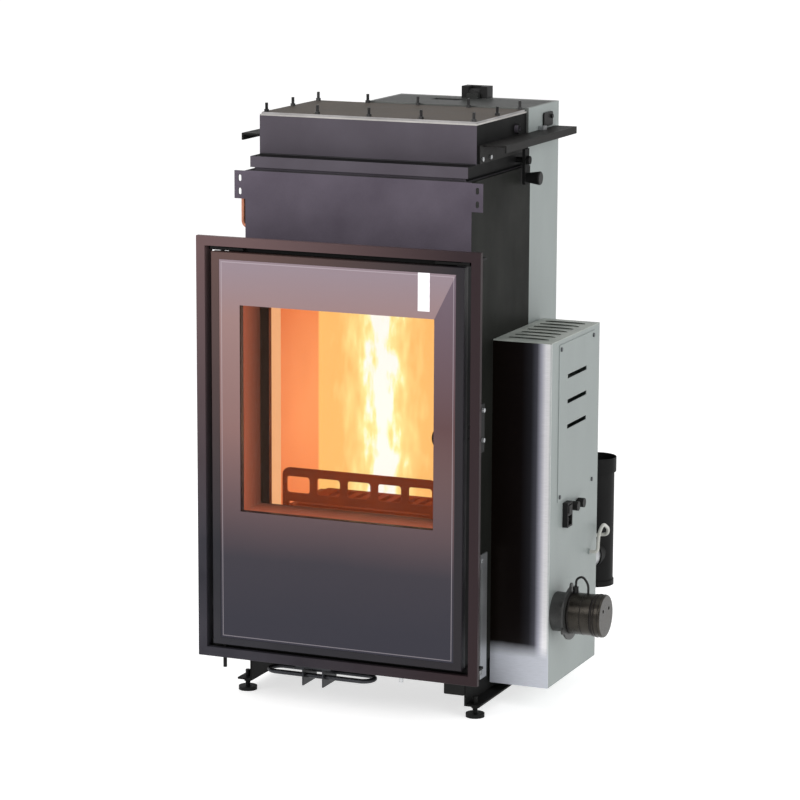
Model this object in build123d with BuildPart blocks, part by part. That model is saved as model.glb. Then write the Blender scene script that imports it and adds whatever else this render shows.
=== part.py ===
from build123d import *
import math
import os

# Boiler fireplace: a built-in water-jacketed stove with a framed glass door, a pellet hopper
# behind the boiler body, and a side cabinet with the controls and the ignition blower.
# Millimetres. Heights are measured from the floor. In the sizes below, x is measured from the
# middle of the door frame (+x is the viewer's right) and y from the frame's front face backwards.

os.makedirs("parts", exist_ok=True)

# Clearances
seat_gap = 0.3
running_gap = 0.075
bolt_gap = 0.25

# Decorative frame
frame_width = 636.0
frame_height = 900.0
frame_bottom = 103.0
frame_face = 20.0
frame_depth = 12.0
frame_edge = 1.0
frame_return = 26.0
frame_return_thick = 3.0

# Door
door_gap_side = 15.0
door_gap_top = 12.0
door_gap_bottom = 9.0
door_border_side = 18.0
door_border_end = 15.0
door_depth = 22.0
door_sheet = 3.0
glass_thick = 4.0
glass_inset = 1.0
window_width = 436.0
window_bottom = 424.0
window_height = 438.0
window_rim = 12.0
window_rim_depth = 8.0
seal_tape = 2.0
inner_glass_margin = 11.0
clip_inset = 70.0
clip_reach = 10.0
clip_width = 22.0
clip_thick = 1.7
rope_width = 10.0
rope_inset = 13.0
rope_channel_wall = 2.0
badge_width = 26.0
badge_height = 79.0
badge_thick = 0.8
badge_right = 70.0

# Door hinge and latch
hinge_pin_radius = 4.0
hinge_pin_drop = 25.0
hinge_back = 18.0
hinge_inset = 19.0
hinge_block_width = 22.0
hinge_block_height = 20.0
latch_inset = 9.0
latch_height = 612.0
latch_thick = 4.0
latch_width = 12.0
latch_length = 40.0
keeper_pin_radius = 3.3
keeper_pin_length = 13.0
keeper_pin_first = 5.0
keeper_below = 20.0
keeper_above = 80.0
latch_play = 0.6
latch_sink = 9.0
keeper_pitch = 25.0

# Door surround, the duct between the door and the boiler body
surround_margin = 27.0
surround_under = 15.0
surround_over = 3.5
surround_front = 30.0
surround_wall = 4.0
mouth_margin = 4.0
ash_door_width = 400.0
ash_door_bottom = 175.0
ash_door_height = 190.0
bracket_thick = 5.0
bracket_lap = 41.0
bracket_reach = 7.0
bracket_tab = 18.0

# Boiler body
body_width = 510.0
body_front = 108.0
body_back = 446.0
body_bottom = 100.0
body_top = 1130.0
body_wall = 4.0

# Firebox
firebox_half = 200.0
firebox_wall = 5.0
firebox_back = 350.0
firebox_floor = 412.0
firebox_top = 895.0
lining_thick = 22.0
back_lining_thick = 25.0
baffle_height = 850.0
baffle_thick = 15.0
baffle_mouth = 35.0
grate_y = 160.0
grate_lip = 8.0
grate_width = 300.0
grate_depth = 150.0
grate_thick = 10.0
grate_slots = 9
guard_front = 120.0
guard_thick = 6.0
guard_bottom = 428.0
guard_height = 72.0
guard_cutouts = 5
guard_pitch = 70.0
guard_corner = 16.0
guard_cutout_width = 54.0
guard_cutout_height = 36.0
guard_cutout_corner = 7.0
guard_leg = 14.0
guard_foot = 22.0
ash_pan_height = 70.0
ash_pan_wall = 1.5
ash_shelf = 180.0
pan_pull_width = 90.0
pan_pull_reach = 5.0
pan_side_gap = 10.0
pan_front_gap = 6.0

# Smoke tubes and the cleaning gear in them
tube_count = 6
tube_pitch = 60.0
tube_radius = 24.0
tube_wall = 2.5
tube_y = 300.0
crank_y = 392.0
crank_above_body = 17.0
crank_shaft_radius = 6.0
crank_reach = 90.0
crank_arm_x = 262.0
crank_arm_thick = 6.0
crank_arm_width = 26.0
crank_arm_drop = 52.0
crank_arm_rise = 24.0
crank_knob_length = 32.0
crank_knob_small = 10.0
crank_knob_large = 15.0
crank_tip_radius = 5.0
crank_inner_half = 3.0
crank_bolt_length = 7.0
fork_gap = 0.6
disc_radius = 17.0
disc_count = 3

# Collar and smoke collector on top of the body
collar_recess = 7.0
collar_front = 112.0
collar_width = 490.0
collar_height = 30.0
collector_front = 159.0
collector_height = 81.0
collector_wall = 4.0
collector_flange = 30.0
gasket_thick = 3.0
gasket_width = 26.0
cover_thick = 4.0
cover_inset = 3.0
stud_inset = 11.0
stud_radius = 3.0
stud_length = 26.0
nut_height = 5.5
nut_radius = 5.8
probe_y = 385.0
probe_above_collar = 53.0
probe_radius = 11.0
probe_length = 8.0

# Slotted wall brackets beside the body's top edge
ear_reach = 25.0
ear_below_top = 1.0
ear_height = 59.0
ear_thick = 3.0
ear_slot_pitch = 28.0
ear_slot_width = 7.0
ear_slot_length = 14.0

# Side rails beside the smoke collector
rail_front = 168.0
rail_back = 610.0
rail_reach = 55.0
rail_above_collar = 39.0
rail_sheet = 4.0
rail_lip = 15.0
rail_web = 38.0
rail_bolt_pitch = 46.0

# Copper pipe of the safety coil
copper_radius = 5.0

# Base
base_web = 4.0
base_half = 250.0
base_flange = 34.0
base_flange_z = 25.0
foot_x = 264.0
foot_front = 130.0
foot_back = 422.0
foot_pad_radius = 20.0
foot_pad_height = 8.0
foot_stud_radius = 5.0

# Air lever under the door
lever_z = 70.0
lever_left = -190.0
lever_right = 60.0
lever_front_y = 54.0
lever_back_y = 101.0
lever_radius = 5.0
lever_plate_z = 88.0
lever_plate_thick = 3.0
lever_plate_back = 320.0
lever_lugs = (-93.0, -47.0)
lever_travel = 25.0

# Hopper
hopper_left = -121.0
hopper_right = 250.0
hopper_depth = 186.0
hopper_above_collector = 10.0
hopper_wall = 2.0
hopper_bend = 755.0
hopper_spout_z = 577.0
auger_x = 110.0
auger_z = 545.0
auger_y = 540.0
lid_rim = 9.0
lid_gap = 1.0
lid_depth = 158.0
lid_axis_rise = 11.0
lid_axis_setback = 6.0
lid_block_left = 36.0
lid_block_width = 60.0
lid_block_height = 26.0
auger_radius = 28.0
auger_wall = 2.0
auger_front = 330.0
auger_back = 600.0

# Side cabinet
cabinet_width = 131.0
cabinet_front = 237.0
cabinet_depth = 298.0
cabinet_bottom = 46.0
cabinet_height = 741.0
cabinet_sheet = 2.0
panel_front = 281.0
panel_back = 502.0
panel_bottom = 440.0
panel_thick = 1.5
panel_lap = 12.0
vent_length = 118.0
vent_height = 9.0
vent_first = 702.0
vent_pitch = 54.0
louvre_count = 7
inlet_y = 330.0
inlet_z = 406.0
reset_z = 417.0
reset_first_y = 367.0
reset_pitch = 36.0

# Ignition blower
blower_y = 283.0
blower_z = 205.0
blower_neck_radius = 42.0
blower_neck_length = 32.0
blower_flange_radius = 57.5
blower_flange_thick = 4.0
blower_body_radius = 44.0
blower_body_length = 58.0
blower_cap_radius = 45.5
blower_cap_length = 18.0
blower_shaft_radius = 5.0

# Flue
flue_x = 347.0
flue_y = 640.0
flue_radius = 40.0
flue_wall = 1.5
flue_bottom = 181.0
flue_top = 469.0
socket_length = 32.0
outlet_z = 257.0
outlet_radius = 30.0
outlet_y = 400.0

# Fixings, cleaning gear, feet, lever, lid, controls and pipes
screw_radius = 2.5
screw_head_radius = 4.5
screw_head = 3.0
frame_screw_y = 18.0
frame_screw_pitch = 62.0
hanger_screw_x = 147.0
strip_front = 172.0
strip_width = 36.0
strip_bottom = 68.0
strip_height = 270.0
rail_clip_y = 505.0
rail_clip_length = 22.0
rail_clip_height = 8.0
copper_x = -268.0
copper_y = 128.0
copper_below_top = 30.0
copper_drop = 90.0
copper_bend = 11.0
bar_half = 170.0
bar_above_body = 45.0
bar_thick = 6.0
rod_radius = 3.0
rod_above_firebox = 35.0
disc_above_firebox = 65.0
disc_pitch = 60.0
disc_thick = 3.0
fork_x = 60.0
fork_half = 10.0
fork_plate = 3.4
fork_depth = 8.0
fork_web_y = 289.0
base_front = 112.0
base_back = 440.0
foot_nut_radius = 9.0
foot_nut_height = 5.7
foot_stud_top = 44.0
switch_box_width = 46.0
switch_box_depth = 23.0
switch_box_low = 47.0
switch_box_height = 30.0
lever_plate_left = -110.0
lever_plate_right = -30.0
lever_plate_front = 40.0
lever_lug_thick = 3.0
lever_lug_low = 50.0
runner_wall = 3.0
runner_lip = 6.0
spout_half = 30.0
ledge_width = 8.0
ledge_thick = 2.0
pocket_left = -14.0
pocket_width = 68.0
pocket_front = 538.0
pocket_depth_y = 36.0
pocket_deep = 14.0
knuckle_radius = 9.0
knuckle_width = 26.0
lid_pin_radius = 3.0
cheek_thick = 16.0
notch_depth = 14.0
latch_paddle_front = 531.0
latch_paddle_length = 54.0
latch_paddle_drop = 48.0
latch_paddle_height = 30.0
latch_paddle_thick = 4.0
auger_shaft_radius = 7.0
auger_flight_radius = 25.0
auger_flights = 9
auger_flight_pitch = 28.0
auger_flight_thick = 3.0
gearbox_half = 35.0
gearbox_depth = 32.0
auger_can_radius = 25.0
auger_can_length = 44.0
inlet_width = 30.0
inlet_height = 53.0
inlet_reach = 12.0
rocker_half = 8.5
rocker_width = 18.0
rocker_pin_radius = 2.0
button_radius = 10.0
button_stem_radius = 5.0
button_length = 14.5
button_travel = 3.0
board_thick = 1.6
board_stand = 5.0
board_height = 260.0
board_bottom = 480.0
board_inset = 10.0
relay_count = 4
relay_pitch = 52.0
relay_first = 30.0
relay_deep = 18.0
relay_long = 60.0
relay_high = 30.0
hose_radius = 3.75
hose_y = 484.0
hose_z = 291.0
nozzle_x = 372.0
nozzle_z = 307.0
gland_radius = 6.0
gland_length = 4.0
nozzle_length = 6.0
cable_radius = 2.5
boot_radius = 6.0
boot_height = 13.0
impeller_radius = 36.0
impeller_depth = 18.0
armature_radius = 30.0
armature_length = 38.0
outlet_bend = 45.0
branch_radius = 33.0
branch_start = 590.0
water_x = -190.0
water_low = 350.0
water_high = 900.0
water_radius = 16.6
water_bore = 13.5
water_length = 40.0

# Worked-out places
frame_top = frame_bottom + frame_height
frame_half = frame_width / 2
door_half = frame_half - frame_face - door_gap_side
door_bottom = frame_bottom + frame_face + door_gap_bottom
door_top = frame_top - frame_face - door_gap_top
glass_half = door_half - door_border_side
glass_bottom = door_bottom + door_border_end
glass_top = door_top - door_border_end
window_half = window_width / 2
window_top = window_bottom + window_height
hinge_x = -door_half + hinge_inset
latch_x = door_half - latch_inset
body_half = body_width / 2
collar_top = body_top + collar_height
collector_top = collar_top + collector_height
rail_top = collar_top + rail_above_collar
probe_z = collar_top + probe_above_collar
ear_top = body_top - ear_below_top
crank_z = body_top + crank_above_body
bar_z = body_top + bar_above_body
rod_bottom = firebox_top + rod_above_firebox
disc_first = firebox_top + disc_above_firebox
hopper_top = collector_top + hopper_above_collector
latch_paddle_low = hopper_top - latch_paddle_drop
copper_top = body_top - copper_below_top
copper_low = copper_top - copper_drop
surround_bottom = door_bottom - surround_under
surround_top = door_top + surround_over
surround_half = door_half - surround_margin
bracket_inner = surround_half - bracket_lap
bracket_outer = door_half + bracket_reach
frame_inner = frame_half - frame_face
keeper_pin_y = door_depth + latch_play - keeper_pin_radius - 0.4
keeper_first = latch_height + keeper_pin_first
mouth_half = window_half + mouth_margin
mouth_bottom = window_bottom - mouth_margin
mouth_top = window_top + mouth_margin
ash_door_top = ash_door_bottom + ash_door_height
collar_half = collar_width / 2
cabinet_left = body_half
cabinet_right = cabinet_left + cabinet_width
cabinet_back = cabinet_front + cabinet_depth
cabinet_top = cabinet_bottom + cabinet_height
blower_flange_x = cabinet_right + blower_neck_length
blower_body_x = blower_flange_x + blower_flange_thick
blower_cap_x = blower_body_x + blower_body_length
blower_end = blower_cap_x + blower_cap_length
socket_radius = flue_radius + 4.0
flue_back = flue_y + socket_radius
hopper_back = body_back + hopper_depth

# The origin is on the floor, under the middle of the whole object's outline.
centre_x = (blower_end - frame_half) / 2
centre_y = flue_back / 2
datum = Plane(origin=(-centre_x, -centre_y, 0))


def level(height):
    """A sketch plane facing up at a height above the floor."""
    return Plane(origin=(-centre_x, -centre_y, height))


def front(distance):
    """A sketch plane facing the viewer, at a distance behind the frame's face."""
    return Plane(origin=(-centre_x, distance - centre_y, 0), x_dir=(1, 0, 0), z_dir=(0, -1, 0))


def side(distance):
    """A sketch plane facing right, at a distance from the frame's middle; it draws (y, z)."""
    return Plane(origin=(distance - centre_x, -centre_y, 0), x_dir=(0, 1, 0), z_dir=(1, 0, 0))


def block(x0, x1, y0, y1, z0, z1, mode=Mode.ADD):
    """Adds or cuts a block between two opposite corners."""
    with Locations(((x0 + x1) / 2, (y0 + y1) / 2, (z0 + z1) / 2)):
        Box(x1 - x0, y1 - y0, z1 - z0, mode=mode)


def rod(axis, across, radius, start, end, mode=Mode.ADD):
    """Adds or cuts a round bar along an axis; across holds its two other coordinates."""
    middle = (start + end) / 2
    if axis == "X":
        centre, turn = (middle, across[0], across[1]), (0, 90, 0)
    elif axis == "Y":
        centre, turn = (across[0], middle, across[1]), (90, 0, 0)
    else:
        centre, turn = (across[0], across[1], middle), (0, 0, 0)
    with Locations(centre):
        Cylinder(radius, end - start, rotation=turn, mode=mode)


# Decorative frame round the door
with BuildPart(datum) as front_frame:
    block(-frame_half, frame_half, 0, frame_depth, frame_bottom, frame_top)
    chamfer(front_frame.faces().sort_by(Axis.Y)[0].edges(), frame_edge)
    block(-frame_half + frame_face, frame_half - frame_face, 0, frame_depth,
          frame_bottom + frame_face, frame_top - frame_face, mode=Mode.SUBTRACT)
    for hand in (-1, 1):
        wall = sorted((hand * frame_inner, hand * (frame_inner + frame_return_thick)))
        block(*wall, frame_depth, frame_depth + frame_return, frame_bottom + frame_face,
              frame_top - frame_face)
    for step in (0, 1):
        rod("X", (keeper_pin_y, keeper_first + step * keeper_pitch),
            keeper_pin_radius + bolt_gap, frame_inner, frame_inner + frame_return_thick,
            mode=Mode.SUBTRACT)
front_frame.part.label = "front_frame"
export_step(front_frame.part, "parts/front_frame.step")

# Brackets that carry the frame on the surround, with the hinge pins and the latch keeper
bracket_levels = {1: surround_top, -1: surround_bottom - bracket_thick}
with BuildPart(datum) as frame_brackets:
    for upward, shelf in bracket_levels.items():
        tab_low = shelf if upward == 1 else frame_bottom + frame_edge
        tab_high = frame_top - frame_edge if upward == 1 else shelf + bracket_thick
        for hand in (-1, 1):
            arm = sorted((hand * bracket_inner, hand * bracket_outer))
            tab = sorted((hand * (bracket_outer - bracket_tab), hand * bracket_outer))
            block(*arm, frame_depth, body_front, shelf, shelf + bracket_thick)
            block(*tab, frame_depth, frame_depth + 3, tab_low, tab_high)
    rod("Z", (hinge_x, hinge_back), hinge_pin_radius, frame_bottom - hinge_pin_drop,
        door_bottom + hinge_block_height - 3)
    rod("Z", (hinge_x, hinge_back), hinge_pin_radius, door_top - hinge_block_height + 3,
        surround_top + bracket_thick + 6)
    block(frame_inner + frame_return_thick, frame_half, frame_depth, surround_front,
          latch_height - keeper_below, latch_height + keeper_above)
    for step in (0, 1):
        rod("X", (keeper_pin_y, keeper_first + step * keeper_pitch), keeper_pin_radius,
            frame_inner + frame_return_thick - keeper_pin_length,
            frame_inner + frame_return_thick)
frame_brackets.part.label = "frame_brackets"
export_step(frame_brackets.part, "parts/frame_brackets.step")

# Door surround: front land with the two openings, outer walls, and the firebox mouth
with BuildPart(datum) as door_surround:
    block(-surround_half, surround_half, surround_front, body_front, surround_bottom, surround_top)
    block(-surround_half + surround_wall, surround_half - surround_wall,
          surround_front + surround_wall, body_front,
          surround_bottom + surround_wall, surround_top - surround_wall, mode=Mode.SUBTRACT)
    block(-mouth_half - surround_wall, mouth_half + surround_wall, surround_front, body_front,
          mouth_bottom - surround_wall, mouth_top + surround_wall)
    block(-mouth_half, mouth_half, surround_front, body_front, mouth_bottom, mouth_top,
          mode=Mode.SUBTRACT)
    block(-ash_door_width / 2, ash_door_width / 2, surround_front, surround_front + surround_wall,
          ash_door_bottom, ash_door_top, mode=Mode.SUBTRACT)
door_surround.part.label = "door_surround"
export_step(door_surround.part, "parts/door_surround.step")

# Door frame: border, back sheet with the window, rope channel, window rim, clips, hinge blocks
glass_back = glass_inset + glass_thick
sheet_back = glass_back + door_sheet
rim_back = sheet_back + window_rim_depth
inner_glass_front = rim_back + seal_tape
inner_glass_back = inner_glass_front + glass_thick
rope_half = surround_half - rope_inset
rope_low = glass_bottom + rope_inset
rope_high = glass_top - rope_inset
channel_inner = rope_width + seat_gap
with BuildPart(datum) as door_frame:
    block(-door_half, door_half, 0, door_depth, door_bottom, door_top)
    chamfer(door_frame.faces().sort_by(Axis.Y)[0].edges(), frame_edge)
    block(-glass_half - seat_gap, glass_half + seat_gap, 0, glass_back,
          glass_bottom - seat_gap, glass_top + seat_gap, mode=Mode.SUBTRACT)
    block(-glass_half, glass_half, sheet_back, door_depth, glass_bottom, glass_top,
          mode=Mode.SUBTRACT)
    for offset in (seat_gap + rope_channel_wall, -channel_inner):
        block(-rope_half - offset, rope_half + offset, sheet_back, door_depth,
              rope_low - offset, rope_high + offset)
        inside = offset - rope_channel_wall
        block(-rope_half - inside, rope_half + inside, sheet_back, door_depth,
              rope_low - inside, rope_high + inside, mode=Mode.SUBTRACT)
    block(-window_half - window_rim, window_half + window_rim, sheet_back, rim_back,
          window_bottom - window_rim, window_top + window_rim)
    block(-window_half, window_half, glass_back, rim_back, window_bottom, window_top,
          mode=Mode.SUBTRACT)
    for hand in (-1, 1):
        for height in (window_bottom + clip_inset, window_top - clip_inset):
            clip_wall = rope_half - channel_inner
            clip = sorted((hand * (clip_wall - rope_channel_wall), hand * clip_wall))
            tongue = sorted((hand * (clip_wall - clip_reach), hand * clip_wall))
            block(*clip, sheet_back, inner_glass_back + seat_gap + clip_thick,
                  height - clip_width / 2, height + clip_width / 2)
            block(*tongue, inner_glass_back + seat_gap, inner_glass_back + seat_gap + clip_thick,
                  height - clip_width / 2, height + clip_width / 2)
    for low in (door_bottom, door_top - hinge_block_height):
        block(hinge_x - hinge_block_width / 2 + 1, hinge_x + hinge_block_width / 2, sheet_back,
              hinge_back + hinge_pin_radius + 2, low, low + hinge_block_height)
    rod("Z", (hinge_x, hinge_back), hinge_pin_radius + running_gap, door_bottom,
        door_bottom + hinge_block_height - 2, mode=Mode.SUBTRACT)
    rod("Z", (hinge_x, hinge_back), hinge_pin_radius + running_gap,
        door_top - hinge_block_height + 2, door_top, mode=Mode.SUBTRACT)
    rod("Y", (latch_x, latch_height), hinge_pin_radius + running_gap,
        door_depth - latch_sink - 1, door_depth,
        mode=Mode.SUBTRACT)
door_frame.part.label = "door_frame"
export_step(door_frame.part, "parts/door_frame.step")

# Printed outer pane
with BuildPart(datum) as door_glass:
    block(-glass_half, glass_half, glass_inset, glass_back, glass_bottom, glass_top)
door_glass.part.label = "door_glass"
export_step(door_glass.part, "parts/door_glass.step")

# Heat-proof inner pane over the window
inner_half = window_half + inner_glass_margin
with BuildPart(datum) as inner_glass:
    block(-inner_half, inner_half, inner_glass_front, inner_glass_back,
          window_bottom - inner_glass_margin, window_top + inner_glass_margin)
inner_glass.part.label = "inner_glass"
export_step(inner_glass.part, "parts/inner_glass.step")

# Flat tape under the inner pane, and the rope seal that presses on the surround
with BuildPart(datum) as door_seals:
    block(-rope_half, rope_half, sheet_back + seat_gap, surround_front - seat_gap,
          rope_low, rope_high)
    rope_inner = rope_half - rope_width
    block(-rope_inner, rope_inner, sheet_back + seat_gap, surround_front - seat_gap,
          rope_low + rope_width, rope_high - rope_width, mode=Mode.SUBTRACT)
    block(-inner_half, inner_half, rim_back, inner_glass_front,
          window_bottom - inner_glass_margin, window_top + inner_glass_margin)
    block(-window_half, window_half, rim_back, inner_glass_front, window_bottom, window_top,
          mode=Mode.SUBTRACT)
door_seals.part.label = "door_seals"
export_step(door_seals.part, "parts/door_seals.step")

# Brushed plate on the glass, hanging from its top edge
badge_x = glass_half - badge_right
with BuildPart(datum) as door_badge:
    block(badge_x - badge_width / 2, badge_x + badge_width / 2, glass_inset - badge_thick,
          glass_inset, glass_top - badge_height, glass_top)
door_badge.part.label = "door_badge"
export_step(door_badge.part, "parts/door_badge.step")

# Latch lever: it turns behind the keeper's pins
latch_plane = door_depth + latch_play
with BuildPart(datum) as latch_lever:
    with BuildSketch(front(latch_plane + latch_thick)):
        with Locations((latch_x, latch_height + latch_length / 2)):
            SlotOverall(latch_length + latch_width, latch_width, rotation=90)
    extrude(amount=latch_thick)
    rod("Y", (latch_x, latch_height), hinge_pin_radius, door_depth - latch_sink, latch_plane)
latch_lever.part.label = "latch_lever"
export_step(latch_lever.part, "parts/latch_lever.step")

# Boiler shell: the outer jacket with its front openings and the wall brackets welded on
with BuildPart(datum) as boiler_shell:
    block(-body_half, body_half, body_front, body_back, body_bottom, body_top)
    block(-body_half + body_wall, body_half - body_wall, body_front + body_wall,
          body_back - body_wall, body_bottom + body_wall, body_top - body_wall, mode=Mode.SUBTRACT)
    block(-mouth_half, mouth_half, body_front, body_front + body_wall, mouth_bottom, mouth_top,
          mode=Mode.SUBTRACT)
    block(-ash_door_width / 2, ash_door_width / 2, body_front, body_front + body_wall,
          ash_door_bottom, ash_door_top, mode=Mode.SUBTRACT)
    for index in range(tube_count):
        rod("Z", ((index - (tube_count - 1) / 2) * tube_pitch, tube_y), tube_radius - tube_wall,
            body_top - body_wall, body_top, mode=Mode.SUBTRACT)
    rod("Y", (auger_x, auger_z), auger_radius + auger_wall + seat_gap, body_back - body_wall,
        body_back, mode=Mode.SUBTRACT)
    rod("X", (outlet_y, outlet_z), outlet_radius - flue_wall, body_half - body_wall, body_half,
        mode=Mode.SUBTRACT)
    for hand in (-1, 1):
        plate = sorted((hand * body_half, hand * (body_half + ear_reach)))
        tab = sorted((hand * body_half, hand * (body_half + ear_thick)))
        block(*plate, body_front, body_front + ear_thick, ear_top - ear_height, ear_top)
        block(*tab, body_front, body_front + ear_reach, ear_top - ear_height, ear_top)
        with BuildSketch(front(body_front + ear_thick)):
            with Locations((hand * (body_half + ear_reach / 2), ear_top - ear_height / 2)):
                with GridLocations(0, ear_slot_pitch, 1, 2):
                    SlotOverall(ear_slot_length, ear_slot_width, rotation=90)
        extrude(amount=ear_thick, mode=Mode.SUBTRACT)
boiler_shell.part.label = "boiler_shell"
export_step(boiler_shell.part, "parts/boiler_shell.step")

# Firebox shell: the inner wall of the water jacket, open to the mouth and over the ash space
shell_half = firebox_half + firebox_wall
floor_low = firebox_floor - firebox_wall
with BuildPart(datum) as firebox_shell:
    block(-shell_half, shell_half, body_front + body_wall, firebox_back + firebox_wall,
          ash_shelf - firebox_wall, firebox_top + firebox_wall)
    block(-firebox_half, firebox_half, body_front + body_wall, firebox_back, firebox_floor,
          firebox_top, mode=Mode.SUBTRACT)
    block(-firebox_half, firebox_half, body_front + body_wall, firebox_back, ash_shelf, floor_low,
          mode=Mode.SUBTRACT)
    block(-grate_width / 2 - seat_gap, grate_width / 2 + seat_gap, grate_y - seat_gap,
          grate_y + grate_depth + seat_gap, floor_low, firebox_floor, mode=Mode.SUBTRACT)
    block(-shell_half, shell_half, body_front + body_wall, body_front + 2 * body_wall,
          mouth_bottom - 8, mouth_top + 8, mode=Mode.SUBTRACT)
    for index in range(tube_count):
        rod("Z", ((index - (tube_count - 1) / 2) * tube_pitch, tube_y), tube_radius - tube_wall,
            firebox_top, firebox_top + firebox_wall, mode=Mode.SUBTRACT)
    rod("Y", (auger_x, auger_z), auger_radius + auger_wall + seat_gap, firebox_back,
        firebox_back + firebox_wall, mode=Mode.SUBTRACT)
firebox_shell.part.label = "firebox_shell"
export_step(firebox_shell.part, "parts/firebox_shell.step")

# Firebox lining: two side bricks and a back brick that the pellet chute passes through
lining_front = body_front + 2 * body_wall + 1
lining_back_face = firebox_back - back_lining_thick
lining_low = firebox_floor
with BuildPart(datum) as firebox_lining:
    for hand in (-1, 1):
        brick = sorted((hand * (firebox_half - lining_thick), hand * (firebox_half - seat_gap)))
        block(*brick, lining_front, lining_back_face, lining_low, baffle_height)
    block(-firebox_half + seat_gap, firebox_half - seat_gap, lining_back_face,
          firebox_back - seat_gap, lining_low, baffle_height)
    rod("Y", (auger_x, auger_z), auger_radius + auger_wall + seat_gap, lining_back_face,
        firebox_back - seat_gap, mode=Mode.SUBTRACT)
firebox_lining.part.label = "firebox_lining"
export_step(firebox_lining.part, "parts/firebox_lining.step")

# Baffle that the smoke passes in front of
with BuildPart(datum) as baffle_plate:
    block(-firebox_half + 1, firebox_half - 1, lining_front + baffle_mouth,
          firebox_back - seat_gap, baffle_height, baffle_height + baffle_thick)
baffle_plate.part.label = "baffle_plate"
export_step(baffle_plate.part, "parts/baffle_plate.step")

# Grate with its slots
with BuildPart(datum) as grate:
    block(-grate_width / 2, grate_width / 2, grate_y, grate_y + grate_depth,
          firebox_floor - grate_thick / 2, firebox_floor + grate_thick / 2)
    block(-grate_width / 2 - grate_lip, grate_width / 2 + grate_lip, grate_y - grate_lip,
          grate_y + grate_depth + grate_lip, firebox_floor, firebox_floor + grate_thick / 2)
    slot_pitch = grate_width / (grate_slots + 1)
    for index in range(grate_slots):
        middle = (index - (grate_slots - 1) / 2) * slot_pitch
        block(middle - slot_pitch / 4, middle + slot_pitch / 4, grate_y + grate_lip,
              grate_y + grate_depth - grate_lip, firebox_floor - grate_thick / 2,
              firebox_floor + grate_thick / 2, mode=Mode.SUBTRACT)
grate.part.label = "grate"
export_step(grate.part, "parts/grate.step")

# Log guard: a cast plate with rounded top corners, cut-outs and two legs
guard_half = firebox_half - lining_thick - 2
guard_top = guard_bottom + guard_height
with BuildPart(datum) as log_guard:
    with BuildSketch(front(guard_front + guard_thick)) as guard_outline:
        with Locations((0, guard_bottom + guard_height / 2)):
            Rectangle(2 * guard_half, guard_height)
        fillet(guard_outline.vertices().group_by(Axis.Y)[-1], guard_corner)
        with Locations((0, guard_bottom + guard_height / 2)):
            with GridLocations(guard_pitch, 0, guard_cutouts, 1):
                RectangleRounded(guard_cutout_width, guard_cutout_height, guard_cutout_corner,
                                 mode=Mode.SUBTRACT)
    extrude(amount=guard_thick)
    for hand in (-1, 1):
        leg = sorted((hand * (guard_half - guard_leg), hand * guard_half))
        block(*leg, guard_front, guard_front + guard_thick, firebox_floor + seat_gap, guard_bottom)
        block(*leg, guard_front, guard_front + guard_foot, firebox_floor + seat_gap,
              firebox_floor + seat_gap + guard_thick)
log_guard.part.label = "log_guard"
export_step(log_guard.part, "parts/log_guard.step")

# Ash pan under the grate
pan_half = ash_door_width / 2 - pan_side_gap
pan_front = body_front + body_wall + pan_front_gap
pan_back = firebox_back - pan_side_gap
with BuildPart(datum) as ash_pan:
    block(-pan_half, pan_half, pan_front, pan_back, ash_shelf, ash_shelf + ash_pan_height)
    block(-pan_half + ash_pan_wall, pan_half - ash_pan_wall, pan_front + ash_pan_wall,
          pan_back - ash_pan_wall, ash_shelf + ash_pan_wall, ash_shelf + ash_pan_height,
          mode=Mode.SUBTRACT)
    block(-pan_pull_width / 2, pan_pull_width / 2, pan_front - pan_pull_reach, pan_front,
          ash_shelf + ash_pan_height - ash_pan_wall * 2, ash_shelf + ash_pan_height)
ash_pan.part.label = "ash_pan"
export_step(ash_pan.part, "parts/ash_pan.step")

# Smoke tubes through the water above the firebox
with BuildPart(datum) as smoke_tubes:
    for index in range(tube_count):
        place = ((index - (tube_count - 1) / 2) * tube_pitch, tube_y)
        rod("Z", place, tube_radius, firebox_top + firebox_wall, body_top - body_wall)
        rod("Z", place, tube_radius - tube_wall, firebox_top + firebox_wall, body_top - body_wall,
            mode=Mode.SUBTRACT)
smoke_tubes.part.label = "smoke_tubes"
export_step(smoke_tubes.part, "parts/smoke_tubes.step")

# Collar on the body: a recessed neck and a flange, open inside for the smoke
collar_neck = collar_half - collar_recess
with BuildPart(datum) as collar_flange:
    block(-collar_neck, collar_neck, collar_front + collar_recess, body_back - collar_recess,
          body_top, body_top + collar_recess)
    block(-collar_half, collar_half, collar_front, body_back, body_top + collar_recess, collar_top)
    block(-collar_neck + body_wall, collar_neck - body_wall, collar_front + collar_recess
          + body_wall, body_back - collar_recess - body_wall, body_top, collar_top - body_wall,
          mode=Mode.SUBTRACT)
    block(-collar_neck + body_wall, collar_neck - body_wall, collector_front + collector_wall,
          body_back - collar_recess - body_wall, body_top, collar_top, mode=Mode.SUBTRACT)
    rod("X", (crank_y, crank_z), crank_shaft_radius + running_gap, collar_neck - body_wall,
        collar_half, mode=Mode.SUBTRACT)
collar_flange.part.label = "collar_flange"
export_step(collar_flange.part, "parts/collar_flange.step")

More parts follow.
